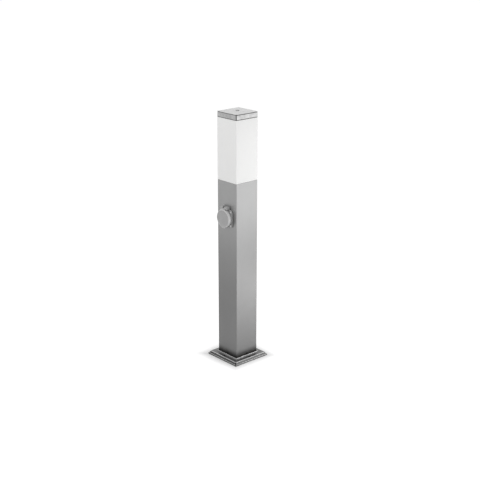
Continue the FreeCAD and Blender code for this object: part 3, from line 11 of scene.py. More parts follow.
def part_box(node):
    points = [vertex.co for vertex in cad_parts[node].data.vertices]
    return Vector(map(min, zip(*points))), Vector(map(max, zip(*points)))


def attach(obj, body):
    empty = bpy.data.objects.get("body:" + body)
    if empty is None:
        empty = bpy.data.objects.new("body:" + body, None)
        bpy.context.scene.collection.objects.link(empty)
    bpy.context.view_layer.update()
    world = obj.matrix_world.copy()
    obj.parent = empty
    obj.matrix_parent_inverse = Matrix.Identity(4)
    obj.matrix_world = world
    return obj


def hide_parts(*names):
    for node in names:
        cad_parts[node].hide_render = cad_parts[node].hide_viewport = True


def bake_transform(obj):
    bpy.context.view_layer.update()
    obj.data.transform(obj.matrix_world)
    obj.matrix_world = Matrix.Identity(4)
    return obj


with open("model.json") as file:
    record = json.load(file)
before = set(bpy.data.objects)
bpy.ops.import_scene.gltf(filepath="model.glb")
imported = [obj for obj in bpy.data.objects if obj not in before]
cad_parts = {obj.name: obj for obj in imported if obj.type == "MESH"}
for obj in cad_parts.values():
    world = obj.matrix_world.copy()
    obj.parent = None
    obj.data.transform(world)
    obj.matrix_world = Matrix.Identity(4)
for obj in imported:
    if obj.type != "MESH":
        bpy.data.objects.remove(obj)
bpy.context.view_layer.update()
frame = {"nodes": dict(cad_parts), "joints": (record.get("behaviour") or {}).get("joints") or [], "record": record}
nodes = frame["nodes"]
slot_of = {name: node.data.materials[0].name for name, node in nodes.items()}
for imported in list(bpy.data.materials):
    bpy.data.materials.remove(imported)

# Metres in a millimetre, how close two places count as one, and how close vertices are merged
MM = 0.001
CLOSE = 1e-6
MERGED = 1e-7
X, Y, Z = Vector((1, 0, 0)), Vector((0, 1, 0)), Vector((0, 0, 1))


# Effects that several finishes share

# The range that noise mostly fills
NOISE_LOW, NOISE_HIGH = 0.3, 0.7
# Cosine between the plain and the softened normal where the painted edge highlight starts and where it is full
EDGE_NONE, EDGE_FULL = 0.995, 0.85
# How far the upper edge of the painted shade near the ground goes up and down, in metres
GROUND_SHADE_WAVER = 0.004


def new_group(name, inputs, outputs):
    """An empty shader node group with named sockets, and its input and output nodes."""
    group = bpy.data.node_groups.new(name, "ShaderNodeTree")
    for label, kind, value in inputs:
        socket = group.interface.new_socket(name=label, in_out="INPUT", socket_type=kind)
        socket.default_value = value
    for label, kind in outputs:
        group.interface.new_socket(name=label, in_out="OUTPUT", socket_type=kind)
    return group, group.nodes.new("NodeGroupInput"), group.nodes.new("NodeGroupOutput")


def add_node(tree, kind, inputs=None, **settings):
    """A node with its settings, and each input either linked or given a value."""
    node = tree.nodes.new(kind)
    for key, value in settings.items():
        setattr(node, key, value)
    for key, value in (inputs or {}).items():
        if isinstance(value, bpy.types.NodeSocket):
            tree.links.new(value, node.inputs[key])
        else:
            node.inputs[key].default_value = value
    return node


def on_piece(tree):
    """The point that is shaded, in the frame of its piece."""
    return add_node(tree, "ShaderNodeTexCoord").outputs["Object"]


def math_node(tree, operation, *values):
    """The result of a Math node on one to three values."""
    node = add_node(tree, "ShaderNodeMath", dict(enumerate(values)), operation=operation)
    return node.outputs[0]


def ranged(tree, value, low, high, to_low=0.0, to_high=1.0, smooth=False):
    """A value taken from one range to another."""
    node = add_node(tree, "ShaderNodeMapRange", {
        "Value": value, "From Min": low, "From Max": high, "To Min": to_low, "To Max": to_high,
    }, interpolation_type="SMOOTHSTEP" if smooth else "LINEAR")
    return node.outputs["Result"]


def blended(tree, share, first, second, blend_type="MIX"):
    """The first colour with a share of the second one mixed in."""
    node = add_node(tree, "ShaderNodeMix", {0: share, 6: first, 7: second}, data_type="RGBA",
                    blend_type=blend_type)
    return node.outputs[2]


def make_grain_group():
    """Fine noise drawn out along an axis: brush marks, moulding texture or rolled sheet."""
    tree, given, result = new_group(
        "grain", [("Stretch", "NodeSocketVector", (300.0, 300.0, 300.0))], [("Grain", "NodeSocketFloat")])
    drawn = add_node(tree, "ShaderNodeVectorMath", {
        0: on_piece(tree), 1: given.outputs["Stretch"],
    }, operation="MULTIPLY")
    noise = add_node(tree, "ShaderNodeTexNoise", {
        "Vector": drawn.outputs[0], "Scale": 1.0, "Detail": 4.0, "Roughness": 0.6,
    })
    tree.links.new(noise.outputs["Fac"], result.inputs["Grain"])
    return tree


def make_cloud_group():
    """Slow, uneven patches: handling marks, stains and the drift of a colour."""
    tree, given, result = new_group(
        "clouds", [("Scale", "NodeSocketFloat", 30.0)], [("Cloud", "NodeSocketFloat")])
    noise = add_node(tree, "ShaderNodeTexNoise", {
        "Vector": on_piece(tree), "Scale": given.outputs["Scale"], "Detail": 3.0, "Roughness": 0.55,
        "Distortion": 0.6,
    })
    patches = ranged(tree, noise.outputs["Fac"], NOISE_LOW, NOISE_HIGH, smooth=True)
    tree.links.new(patches, result.inputs["Cloud"])
    return tree


def make_edge_group():
    """Edges: a softened normal across them, and how strongly the point lies on one."""
    tree, given, result = new_group(
        "edges", [("Radius", "NodeSocketFloat", 0.0006)],
        [("Edge", "NodeSocketFloat"), ("Normal", "NodeSocketVector")])
    soft = add_node(tree, "ShaderNodeBevel", {"Radius": given.outputs["Radius"]}, samples=8)
    plain = add_node(tree, "ShaderNodeNewGeometry")
    turn = add_node(tree, "ShaderNodeVectorMath", {
        0: soft.outputs["Normal"], 1: plain.outputs["Normal"],
    }, operation="DOT_PRODUCT")
    on_edge = ranged(tree, turn.outputs["Value"], EDGE_NONE, EDGE_FULL, smooth=True)
    tree.links.new(on_edge, result.inputs["Edge"])
    tree.links.new(soft.outputs["Normal"], result.inputs["Normal"])
    return tree


def make_ground_shade_group():
    """Painted shade near the ground: full at Low and gone at High, with an uneven edge."""
    tree, given, result = new_group(
        "ground_shade", [("Low", "NodeSocketFloat", 0.012), ("High", "NodeSocketFloat", 0.04)],
        [("GroundShade", "NodeSocketFloat")])
    place = on_piece(tree)
    parts = add_node(tree, "ShaderNodeSeparateXYZ", {0: place})
    noise = add_node(tree, "ShaderNodeTexNoise", {"Vector": place, "Scale": 120.0, "Detail": 4.0})
    uneven = math_node(tree, "MULTIPLY_ADD", noise.outputs["Fac"], GROUND_SHADE_WAVER, -GROUND_SHADE_WAVER / 2)
    height = math_node(tree, "ADD", parts.outputs["Z"], uneven)
    ground_shading = ranged(tree, height, given.outputs["High"], given.outputs["Low"], smooth=True)
    tree.links.new(ground_shading, result.inputs["GroundShade"])
    return tree


GRAIN = make_grain_group()
CLOUDS = make_cloud_group()
EDGES = make_edge_group()
GROUND_SHADE = make_ground_shade_group()


# Finishes

GROUND_SHADE_ROUGHNESS = 0.8
BUMP_STRENGTH = 0.6


def shade(colour, factor):
    """A colour made lighter or darker."""
    return tuple(min(1.0, part * factor) for part in colour[:3]) + (1.0,)


def grey(level):
    """A colour without a hue."""
    return (level, level, level, 1.0)


def effect(tree, group, **values):
    """A shared effect placed in a material with its own values. Returns its outputs."""
    return add_node(tree, "ShaderNodeGroup", values, node_tree=group).outputs


def new_finish(name, colour, roughness, metallic=0.0, drift=0.06, clouds=30.0, grain=(400.0, 400.0, 400.0),
               depth=0.00001, rough_drift=0.06, edge_radius=0.0005, edge_highlight_colour=None, edge_highlight_share=0.5,
               ground_shade=None, ground_shade_colour=(0.02, 0.019, 0.018, 1.0), falloff_shade=None, **plain):
    """A finish with drifting colour and gloss, grain in its surface and softened edges with a painted highlight.

    A painted shade covers it from the ground up and is (full height, gone height), in metres. Another painted
    shade, darker towards the bottom, reaches further up and is (full height, gone height, share)."""
    material = bpy.data.materials.new(name)
    material.use_nodes = True
    tree = material.node_tree
    shader = tree.nodes["Principled BSDF"]
    cloud = effect(tree, CLOUDS, Scale=clouds)["Cloud"]
    streak = effect(tree, GRAIN, Stretch=grain)["Grain"]
    edge = effect(tree, EDGES, Radius=edge_radius)
    drifted = blended(tree, cloud, shade(colour, 1 - drift), shade(colour, 1 + drift))
    fine = ranged(tree, streak, NOISE_LOW, NOISE_HIGH, 1 - drift, 1 + drift)
    body = blended(tree, 1.0, drifted, fine, "MULTIPLY")
    # Edges are mixed towards a lighter colour: a painted highlight
    if edge_highlight_colour is not None:
        body = blended(tree, math_node(tree, "MULTIPLY", edge["Edge"], edge_highlight_share), body, edge_highlight_colour)
    gloss = ranged(tree, streak, NOISE_LOW, NOISE_HIGH, roughness - rough_drift, roughness + rough_drift)
    # A painted shade that makes the finish darker towards the bottom
    if falloff_shade is not None:
        low, high, share = falloff_shade
        falloff = effect(tree, GROUND_SHADE, Low=low, High=high)["GroundShade"]
        body = blended(tree, math_node(tree, "MULTIPLY", falloff, share), body, ground_shade_colour)
    # A painted shade near the ground, which also makes the gloss rougher there
    if ground_shade is not None:
        low, high = ground_shade
        ground_shading = effect(tree, GROUND_SHADE, Low=low, High=high)["GroundShade"]
        body = blended(tree, ground_shading, body, ground_shade_colour)
        gloss = math_node(tree, "MAXIMUM", gloss, math_node(tree, "MULTIPLY", ground_shading, GROUND_SHADE_ROUGHNESS))
    bump = add_node(tree, "ShaderNodeBump", {
        "Strength": BUMP_STRENGTH, "Distance": depth, "Height": streak, "Normal": edge["Normal"],
    })
    tree.links.new(body, shader.inputs["Base Color"])
    tree.links.new(gloss, shader.inputs["Roughness"])
    tree.links.new(bump.outputs["Normal"], shader.inputs["Normal"])
    shader.inputs["Metallic"].default_value = metallic
    for key, value in plain.items():
        shader.inputs[key.replace("_", " ")].default_value = value
    return material


ALONG_Z = (900.0, 900.0, 12.0)
POLISHED = (160.0, 160.0, 160.0)
ROLLED = (300.0, 300.0, 300.0)
FINE = (1500.0, 1500.0, 1500.0)

# Edge colours are painted highlights along the edges
FINISHES = {
    # The post's steel gets painted shade near the ground and a wider painted shade, darker towards the bottom
    "brushed_steel": new_finish(
        "brushed_steel", grey(0.33), 0.42, 0.72, drift=0.03, clouds=9.0, grain=ALONG_Z, depth=0.000004,
        edge_highlight_colour=grey(0.55), edge_highlight_share=0.3, ground_shade=(0.012, 0.036), falloff_shade=(0.18, 0.5, 0.46)),
    "polished_steel": new_finish(
        "polished_steel", grey(0.16), 0.32, 0.55, drift=0.12, clouds=45.0, grain=POLISHED, depth=0.000006,
        edge_radius=0.001, edge_highlight_colour=grey(0.3), edge_highlight_share=0.5),
    # A darker copy of the polished steel for the foot's outer slopes: a painted dark reflection
    "dark_reflection_steel": new_finish(
        "dark_reflection_steel", grey(0.06), 0.34, 0.5, drift=0.12, clouds=45.0, grain=POLISHED, depth=0.000006),
    # A lighter copy of the polished steel for the foot's edges: a painted highlight
    "highlight_steel": new_finish(
        "highlight_steel", grey(0.62), 0.36, 0.6, drift=0.05, clouds=80.0, grain=POLISHED, depth=0.000006),
    "cap_steel": new_finish(
        "cap_steel", grey(0.44), 0.42, 0.6, drift=0.12, clouds=90.0, grain=ROLLED, depth=0.000008,
        edge_radius=0.0008, edge_highlight_colour=grey(0.6), edge_highlight_share=0.3),
    # A lighter copy of the cap's steel for its top: painted light
    "cap_top_lit_steel": new_finish(
        "cap_top_lit_steel", grey(0.66), 0.38, 0.6, drift=0.06, clouds=60.0, grain=ROLLED, depth=0.000008),
    "sheet_steel": new_finish("sheet_steel", grey(0.45), 0.4, 0.9, grain=(40.0, 900.0, 900.0)),
    # The screws get the painted shade near the ground
    "screw_steel": new_finish(
        "screw_steel", grey(0.55), 0.3, 0.9, drift=0.1, clouds=200.0, edge_highlight_colour=grey(0.8),
        edge_radius=0.0002, ground_shade=(0.018, 0.05)),
    "cast_aluminium": new_finish(
        "cast_aluminium", grey(0.42), 0.55, 0.8, drift=0.1, clouds=60.0, grain=(700.0, 700.0, 700.0),
        depth=0.00006, edge_highlight_colour=grey(0.6)),
    "lamp_aluminium": new_finish(
        "lamp_aluminium", grey(0.62), 0.3, 0.9, drift=0.05, grain=(900.0, 900.0, 60.0), depth=0.00001),
    "brass": new_finish(
        "brass", (0.62, 0.42, 0.14, 1.0), 0.28, 1.0, drift=0.08, clouds=150.0,
        edge_highlight_colour=(0.8, 0.6, 0.25, 1.0)),
    "black_rubber": new_finish(
        "black_rubber", grey(0.012), 0.7, drift=0.2, grain=FINE, depth=0.00004, rough_drift=0.08),
    "grey_plastic": new_finish(
        "grey_plastic", grey(0.43), 0.27, drift=0.03, clouds=40.0, grain=FINE, depth=0.00002,
        edge_highlight_colour=grey(0.6), edge_highlight_share=0.5, edge_radius=0.0006),
    # A lighter copy of the grey plastic for the lid's rim: a painted highlight
    "rim_highlight_plastic": new_finish(
        "rim_highlight_plastic", grey(0.6), 0.2, drift=0.03, clouds=40.0, grain=FINE, depth=0.00001),
    "black_plastic": new_finish("black_plastic", grey(0.02), 0.4, drift=0.1, grain=FINE, depth=0.00003),
    "white_plastic": new_finish(
        "white_plastic", (0.78, 0.77, 0.74, 1.0), 0.38, drift=0.03, grain=FINE, depth=0.00002),
    # The opal plastic glows a little though no lamp lights it, as painted light, and its edges get a strong
    # painted highlight
    "opal_plastic": new_finish(
        "opal_plastic", (0.66, 0.66, 0.655, 1.0), 0.34, drift=0.008, clouds=9.0, grain=FINE,
        depth=0.000008, rough_drift=0.03, edge_radius=0.0012, edge_highlight_colour=grey(0.97), edge_highlight_share=0.8,
        Subsurface_Weight=0.3, Subsurface_Radius=(0.02, 0.02, 0.02), Subsurface_Scale=0.2,
        Emission_Color=(1.0, 1.0, 0.995, 1.0), Emission_Strength=0.25),
    "lead_sheath": new_finish("lead_sheath", grey(0.08), 0.5, drift=0.1, grain=FINE, depth=0.00003),
}

for name, node in nodes.items():
    node.data.materials.clear()
    node.data.materials.append(FINISHES[slot_of[name]])


# Pieces are modelled in metres from millimetre sizes, in the frame of the row

# Half side of the post, the diffuser and the cap
HALF_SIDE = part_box("post_tube")[1].x / MM
# The upward share of a level face's normal is above this
LEVEL = 0.99
# The second finish, black, painted as shade into grooves, gaps, ledges, edges and holes
PAINTED_SHADE = 1


def named(entries, name):
    """The mount or joint of this name."""
    return next(entry for entry in entries if entry["name"] == name)


def mm(*values):
    """A place or a step in millimetres, given back in metres."""
    return Vector(values) * MM


def of_kind(kind, items):
    """The vertices, edges or faces among what an operator made."""
    return [item for item in items if isinstance(item, kind)]


def ring_edges(verts):
    """The edges that join these vertices to each other."""
    chosen = set(verts)
    return list({edge for vert in verts for edge in vert.link_edges if edge.other_vert(vert) in chosen})


def reach(point):
    """How far a point lies from the middle of a square piece, square to its side."""
    return max(abs(point.x), abs(point.y))


def square_loop(bm, half, height):
    """A square of edges, lying level."""
    place = Matrix.Translation((0, 0, height * MM)) @ Matrix.Rotation(math.pi / 4, 4, "Z")
    radius = half * MM * math.sqrt(2)
    return bmesh.ops.create_circle(bm, cap_ends=False, segments=4, radius=radius, matrix=place)["verts"]


def stacked(bm, sections, closed=False):
    """Walls through level squares, given as (half side, height). Returns the first and last loops."""
    first = square_loop(bm, *sections[0])
    verts = first
    for before, after in zip(sections, sections[1:]):
        wall = bmesh.ops.extrude_edge_only(bm, edges=ring_edges(verts))["geom"]
        verts = of_kind(bmesh.types.BMVert, wall)
        factor = after[0] / before[0]
        bmesh.ops.scale(bm, vec=(factor, factor, 1.0), verts=verts)
        bmesh.ops.translate(bm, vec=(0, 0, (after[1] - before[1]) * MM), verts=verts)
    if closed:
        bmesh.ops.bridge_loops(bm, edges=ring_edges(first) + ring_edges(verts))
    return first, verts


def bevelled(bm, edges, offset, segments=3):
    """Rounds edges, or cuts them off with one segment. Returns the new faces."""
    return bmesh.ops.bevel(bm, geom=list(edges), offset=offset * MM, segments=segments, profile=0.5,
                           affect="EDGES", clamp_overlap=True, material=-1)["faces"]


def paint(faces, index):
    """Gives faces another of the piece's finishes."""
    for face in faces:
        if face.is_valid:
            face.material_index = index


def corner_edges(bm, low, high):
    """Edges that run up the corners of a square piece between two heights."""
    found = []
    for edge in bm.edges:
        ends = [vert.co for vert in edge.verts]
        on_corner = all(abs(abs(end.x) - abs(end.y)) < CLOSE for end in ends)
        upright = abs(ends[0].z - ends[1].z) > CLOSE
        between = all(low * MM - CLOSE <= end.z <= high * MM + CLOSE for end in ends)
        if on_corner and upright and between:
            found.append(edge)
    return found


def level_edges(bm, half, height):
    """Edges of the square of this half side at this height."""
    return [
        edge for edge in bm.edges
        if all(abs(vert.co.z - height * MM) < CLOSE and abs(reach(vert.co) - half * MM) < CLOSE
               for vert in edge.verts)
    ]


def round_edges(bm, radius, height):
    """Edges of the circle of this radius at this height."""
    return [
        edge for edge in bm.edges
        if all(abs(vert.co.z - height * MM) < CLOSE and abs(vert.co.xy.length - radius * MM) < CLOSE
               for vert in edge.verts)
    ]


def spun(bm, profile, steps=64, closed=False):
    """Turns a profile of (radius, height) points round Z."""
    verts = [bm.verts.new((radius * MM, 0, height * MM)) for radius, height in profile]
    pairs = list(zip(verts, verts[1:])) + ([(verts[-1], verts[0])] if closed else [])
    edges = [bm.edges.new(pair) for pair in pairs]
    bmesh.ops.spin(bm, geom=verts + edges, cent=(0, 0, 0), axis=(0, 0, 1), angle=math.tau, steps=steps,
                   use_merge=True)
    bmesh.ops.remove_doubles(bm, verts=bm.verts, dist=MERGED)


def block(bm, low, high, edge=0.3, segments=2):
    """A block between two corners with softened edges."""
    low, high = mm(*low), mm(*high)
    made = bmesh.ops.create_cube(bm, size=1.0)["verts"]
    bmesh.ops.scale(bm, vec=high - low, verts=made)
    bmesh.ops.translate(bm, vec=(low + high) / 2, verts=made)
    bevelled(bm, ring_edges(made), edge, segments)


def add_mesh(bm, other, place=None):
    """Adds another bmesh to this one, moved to its place, and frees it."""
    if place is not None:
        bmesh.ops.transform(other, matrix=place, verts=other.verts)
    carrier = bpy.data.meshes.new("carrier")
    other.to_mesh(carrier)
    other.free()
    bm.from_mesh(carrier)
    bpy.data.meshes.remove(carrier)


def corner_grooves(bm, low, high, width, depth):
    """Sinks a narrow groove up each corner between two heights, with its walls and floor painted black as shade.
    """
    cut = bevelled(bm, corner_edges(bm, low, high), width / 2, segments=1)
    floors = [face for face in cut if face.is_valid]
    sunk = bmesh.ops.extrude_face_region(bm, geom=floors)["geom"]
    paint(of_kind(bmesh.types.BMFace, sunk), PAINTED_SHADE)
    for vert in of_kind(bmesh.types.BMVert, sunk):
        inward = Vector((-math.copysign(1, vert.co.x), -math.copysign(1, vert.co.y), 0)).normalized()
        vert.co += inward * depth * MM
    bmesh.ops.delete(bm, geom=floors, context="FACES_ONLY")


def finished(bm, name, slot_name, body, replaced, others=(), smooth_below=0.6, finish=None):
    """Makes the object, gives it its finishes and lets it ride on its body in place of CAD nodes."""
    bmesh.ops.remove_doubles(bm, verts=bm.verts, dist=MERGED)
    bmesh.ops.recalc_face_normals(bm, faces=bm.faces)
    for face in bm.faces:
        face.smooth = True
    for edge in bm.edges:
        edge.smooth = len(edge.link_faces) == 2 and edge.calc_face_angle(0.0) < smooth_below
    mesh = bpy.data.meshes.new(name)
    bm.to_mesh(mesh)
    bm.free()
    for own in (finish or slot_name, *others):
        mesh.materials.append(FINISHES[own])
    piece = bpy.data.objects.new(name, mesh)
    bpy.context.scene.collection.objects.link(piece)
    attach(piece, body)
    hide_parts(*replaced)
    return piece


# Foot cover: rim, two drawn steps, a level ring with the anchor holes, and the lip round the post

# Heights
RIM_TOP, STEP_TOP, RING_TOP = 1.4, 4.0, 9.5
RIM_INSIDE, LIP_FLANK, LIP_FOOT = 2.5, 0.9, 8.2
# Half sides, from the shoulder of the steps in to the lip
SHOULDER, RING_OUT, RING_IN, RAMP, LIP_OUT, LIP_IN = 54.3, 52.2, 44.6, 43.2, 41.1, 39.6
# How far the rim's inside and both edges of the level joint lie in from the foot's side
RIM_SHEET, STEP_DRAFT, STEP_JOINT = 1.5, 1.0, 2.6
FOOT_GROOVE, FOOT_GROOVE_DEPTH = 2.6, 2.0
# Slopes past this half side, with less of their normal upwards than this, get a painted dark reflection
SLOPE_OUT, SLOPE_LIMIT = 54.0, 0.95
# The foot's third finish is a painted highlight on its edges and its fourth a painted dark reflection on its
# slopes
FOOT_HIGHLIGHT, FOOT_DARK_REFLECTION = 2, 3
ANCHORS = named(frame["record"]["mounts"], "anchor_holes")["dims"]
ANCHOR_OUT, ANCHOR_RADIUS = ANCHORS["pcd_mm"] / 2, ANCHORS["hole_r_mm"]
# The middle of each side of the level ring lies between these half sides
RING_MIDDLE = (46.0, 50.0)
# The hole's wall goes down in two stretches, as (drop, share of the width kept)
ANCHOR_WALLS = ((2.2, 0.95), (6.8, 0.99))


def cut_anchor_hole(bm, face):
    """Cuts a round hole into one side of the level ring and gives it a wall painted black as shade."""
    middle = face.calc_center_median()
    direction = X if abs(middle.x) > abs(middle.y) else Y
    place = direction * math.copysign(ANCHOR_OUT * MM, middle.dot(direction)) + Z * RING_TOP * MM
    border = list(face.edges)
    bmesh.ops.delete(bm, geom=[face], context="FACES_ONLY")
    ring = bmesh.ops.create_circle(bm, cap_ends=False, segments=32, radius=ANCHOR_RADIUS * MM,
                                   matrix=Matrix.Translation(place))["verts"]
    hole = ring_edges(ring)
    bmesh.ops.triangle_fill(bm, use_beauty=True, use_dissolve=False, edges=border + hole)
    for drop, narrowed in ANCHOR_WALLS:
        wall = bmesh.ops.extrude_edge_only(bm, edges=hole)["geom"]
        ring = of_kind(bmesh.types.BMVert, wall)
        bmesh.ops.translate(bm, vec=(0, 0, -drop * MM), verts=ring)
        bmesh.ops.scale(bm, vec=(narrowed, narrowed, 1.0), space=Matrix.Translation(-place), verts=ring)
        paint(of_kind(bmesh.types.BMFace, wall), PAINTED_SHADE)
        hole = ring_edges(ring)


def paint_foot(bm):
    """Paints a dark reflection onto the outer slopes and paints the level joint between the two steps black as
    shade.
    """
    for face in bm.faces:
        middle = face.calc_center_median()
        outer = reach(middle) > SLOPE_OUT * MM and RIM_TOP * MM < middle.z < RING_TOP * MM
        if outer and abs(face.normal.z) < SLOPE_LIMIT and face.material_index == 0:
            face.material_index = FOOT_DARK_REFLECTION
        if face.normal.z > LEVEL and abs(middle.z - STEP_TOP * MM) < CLOSE:
            face.material_index = PAINTED_SHADE


def make_foot_cover():
    """The foot's cover, with grooved corners, edges painted with a highlight and an anchor hole in each side."""
    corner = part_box("base_cover")[1]
    side, lip_top = corner.x / MM, corner.z / MM
    step_side = side - STEP_DRAFT
    bm = bmesh.new()
    stacked(bm, [
        (side - RIM_SHEET, RIM_INSIDE), (side - RIM_SHEET, 0.0), (side, 0.0), (side, RIM_TOP),
        (step_side, STEP_TOP), (side - STEP_JOINT, STEP_TOP), (SHOULDER, RING_TOP), (RING_OUT, RING_TOP),
        (RING_IN, RING_TOP), (RAMP, RING_TOP), (LIP_OUT, lip_top - LIP_FLANK), (LIP_OUT, lip_top),
        (LIP_IN, lip_top), (LIP_IN, LIP_FOOT),
    ])
    corner_grooves(bm, 0.0, STEP_TOP, FOOT_GROOVE, FOOT_GROOVE_DEPTH)
    corner_grooves(bm, STEP_TOP, RING_TOP, FOOT_GROOVE, FOOT_GROOVE_DEPTH)
    paint_foot(bm)
    # The bottom edge is painted black as shade and the upper edges get a lighter steel as a painted highlight
    for half, height, offset, index in (
        (side, 0.0, 0.3, PAINTED_SHADE), (side, RIM_TOP, 0.35, 0), (step_side, STEP_TOP, 0.6, FOOT_HIGHLIGHT),
        (SHOULDER, RING_TOP, 1.3, FOOT_HIGHLIGHT), (LIP_OUT, lip_top, 0.5, FOOT_HIGHLIGHT),
        (LIP_IN, lip_top, 0.4, FOOT_HIGHLIGHT),
    ):
        paint(bevelled(bm, level_edges(bm, half, height), offset), index)
    middle_in, middle_out = RING_MIDDLE
    ring_sides = [
        face for face in bm.faces
        if abs(face.normal.z) > LEVEL and abs(face.calc_center_median().z - RING_TOP * MM) < CLOSE
        and middle_in * MM < reach(face.calc_center_median()) < middle_out * MM
    ]
    for face in ring_sides:
        cut_anchor_hole(bm, face)
    return finished(bm, "foot_cover", "polished_steel", "post", ["base_cover"],
                    others=["black_rubber", "highlight_steel", "dark_reflection_steel"])


# Cap: a folded sheet with a shadow gap at its foot, a fold line under its edge and a low pyramid on top

CAP_RISE, CAP_CROWN, CAP_SHEET = 1.5, 8.0, 1.5
CAP_INSIDE, GAP_IN, GAP_HEIGHT = 36.4, 37.1, 1.6
# How far the four corners of the fold line lie under the cap's edge
FOLD_IN, FOLD_CORNERS = 37.4, (2.5, 2.3, 1.2, 1.0)
CAP_GROOVE, CAP_GROOVE_DEPTH = 3.0, 1.2
CAP_EDGE, GAP_EDGE = 0.6, 0.25
# The faces of the gap and of the fold line, painted black as shade, have their middles between these half sides
DARK_BAND = (37.05, 37.55)
# The upward share of the pyramid's normal is above this
TOP_LEVEL = 0.9
# The pyramid's faces get a lighter copy of the cap's steel: painted light on the top
CAP_TOP_LIT = 2


def make_cap_sheet():
    """The cap, with a groove at each corner, a gap and fold line round it painted black as shade, and its top
    painted lighter as light.
    """
    low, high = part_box("cap")
    foot, crown = low.z / MM, high.z / MM
    edge = crown - CAP_RISE
    gap_top = foot + GAP_HEIGHT
    fold = [edge - drop for drop in FOLD_CORNERS]
    bm = bmesh.new()
    loops = stacked(bm, [
        (CAP_INSIDE, edge - CAP_SHEET), (CAP_INSIDE, foot), (GAP_IN, foot), (GAP_IN, gap_top),
        (HALF_SIDE, gap_top), (HALF_SIDE, fold[0]), (FOLD_IN, fold[1]), (FOLD_IN, fold[2]),
        (HALF_SIDE, fold[3]), (HALF_SIDE, edge), (CAP_CROWN, crown),
    ])
    for loop in loops:
        bmesh.ops.contextual_create(bm, geom=ring_edges(loop))
    dark_in, dark_out = DARK_BAND
    for face in bm.faces:
        middle = face.calc_center_median()
        if dark_in * MM < reach(middle) < dark_out * MM and middle.z > foot * MM + CLOSE:
            face.material_index = PAINTED_SHADE
        if face.normal.z > TOP_LEVEL and middle.z > edge * MM + CLOSE:
            face.material_index = CAP_TOP_LIT
    corner_grooves(bm, gap_top, edge, CAP_GROOVE, CAP_GROOVE_DEPTH)
    bevelled(bm, level_edges(bm, HALF_SIDE, edge), CAP_EDGE)
    bevelled(bm, level_edges(bm, HALF_SIDE, gap_top), GAP_EDGE, segments=2)
    return finished(bm, "cap_sheet", "polished_steel", "post", ["cap"],
                    others=["black_rubber", "cap_top_lit_steel"], smooth_below=0.5, finish="cap_steel")


# Diffuser: an opal square tube with a spigot at each end, softly rounded at its outer edges

DIFFUSER_BORE, SPIGOT_SIDE = 35.0, 36.2
DIFFUSER_ROUNDING = 1.0


def make_diffuser_shell():
    """The opal tube, whose spigots go into the post and the cap."""
    low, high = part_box("diffuser")
    foot, top = low.z / MM, high.z / MM
    post_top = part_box("post_tube")[1].z / MM
    cap_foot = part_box("cap")[0].z / MM
    bm = bmesh.new()
    stacked(bm, [
        (DIFFUSER_BORE, foot), (SPIGOT_SIDE, foot), (SPIGOT_SIDE, post_top), (HALF_SIDE, post_top),
        (HALF_SIDE, cap_foot), (SPIGOT_SIDE, cap_foot), (SPIGOT_SIDE, top), (DIFFUSER_BORE, top),
    ], closed=True)
    outer = corner_edges(bm, post_top, cap_foot)
    outer += level_edges(bm, HALF_SIDE, post_top) + level_edges(bm, HALF_SIDE, cap_foot)
    bevelled(bm, outer, DIFFUSER_ROUNDING, segments=4)
    return finished(bm, "diffuser_shell", "opal_plastic", "post", ["diffuser"])


# Screws

CAP_SHANK, CAP_SHANK_GAP = 2.0, 0.3
FLANGE_HEAD, FLANGE_HEAD_HEIGHT, FLANGE_HEAD_OUT = 2.9, 1.7, 18.5
# How far each flange screw's cross is turned, in radians
FLANGE_HEAD_TURN = 0.3
HEAD_SUNK = 0.6
# The points of the crown and the recess, as shares of the head's radius and height
HEAD_CROWN = ((1.0, 0.35), (0.82, 0.85), (0.5, 1.0))
RECESS_RADIUS, RECESS_DEPTH = 0.42, 0.6
# The recess's floor, and the arms and waist of a crossed one, as shares of its radius
RECESS_FLOOR, CROSS_ARM, CROSS_WAIST = 0.8, 1.06, 0.45


def crossed(verts):
    """Draws a ring of twelve points in between the four arms of a cross."""
    for vert in verts:
        step = round(math.atan2(vert.co.y, vert.co.x) / (math.tau / len(verts)))
        vert.co.xy *= CROSS_ARM if step % 3 == 0 else CROSS_WAIST


def screw_head(radius, height, recess):
    """A pan head standing up along Z with a six-sided or a crossed recess."""
    bm = bmesh.new()
    crown = [(radius * out, height * up) for out, up in HEAD_CROWN]
    spun(bm, [(0.0, -HEAD_SUNK), (radius, -HEAD_SUNK), *crown], steps=32)
    rim = [vert for vert in bm.verts if abs(vert.co.z - height * MM) < CLOSE]
    inner = bmesh.ops.create_circle(
        bm, cap_ends=False, segments=6 if recess == "hexagon" else 12, radius=radius * RECESS_RADIUS * MM,
        matrix=Matrix.Translation((0, 0, height * MM)))["verts"]
    if recess == "cross":
        crossed(inner)
    bmesh.ops.bridge_loops(bm, edges=ring_edges(rim) + ring_edges(inner))
    deep = bmesh.ops.extrude_edge_only(bm, edges=ring_edges(inner))["geom"]
    floor = of_kind(bmesh.types.BMVert, deep)
    bmesh.ops.translate(bm, vec=(0, 0, -height * RECESS_DEPTH * MM), verts=floor)
    bmesh.ops.scale(bm, vec=(RECESS_FLOOR, RECESS_FLOOR, 1.0), verts=floor)
    bmesh.ops.contextual_create(bm, geom=ring_edges(floor))
    return bm


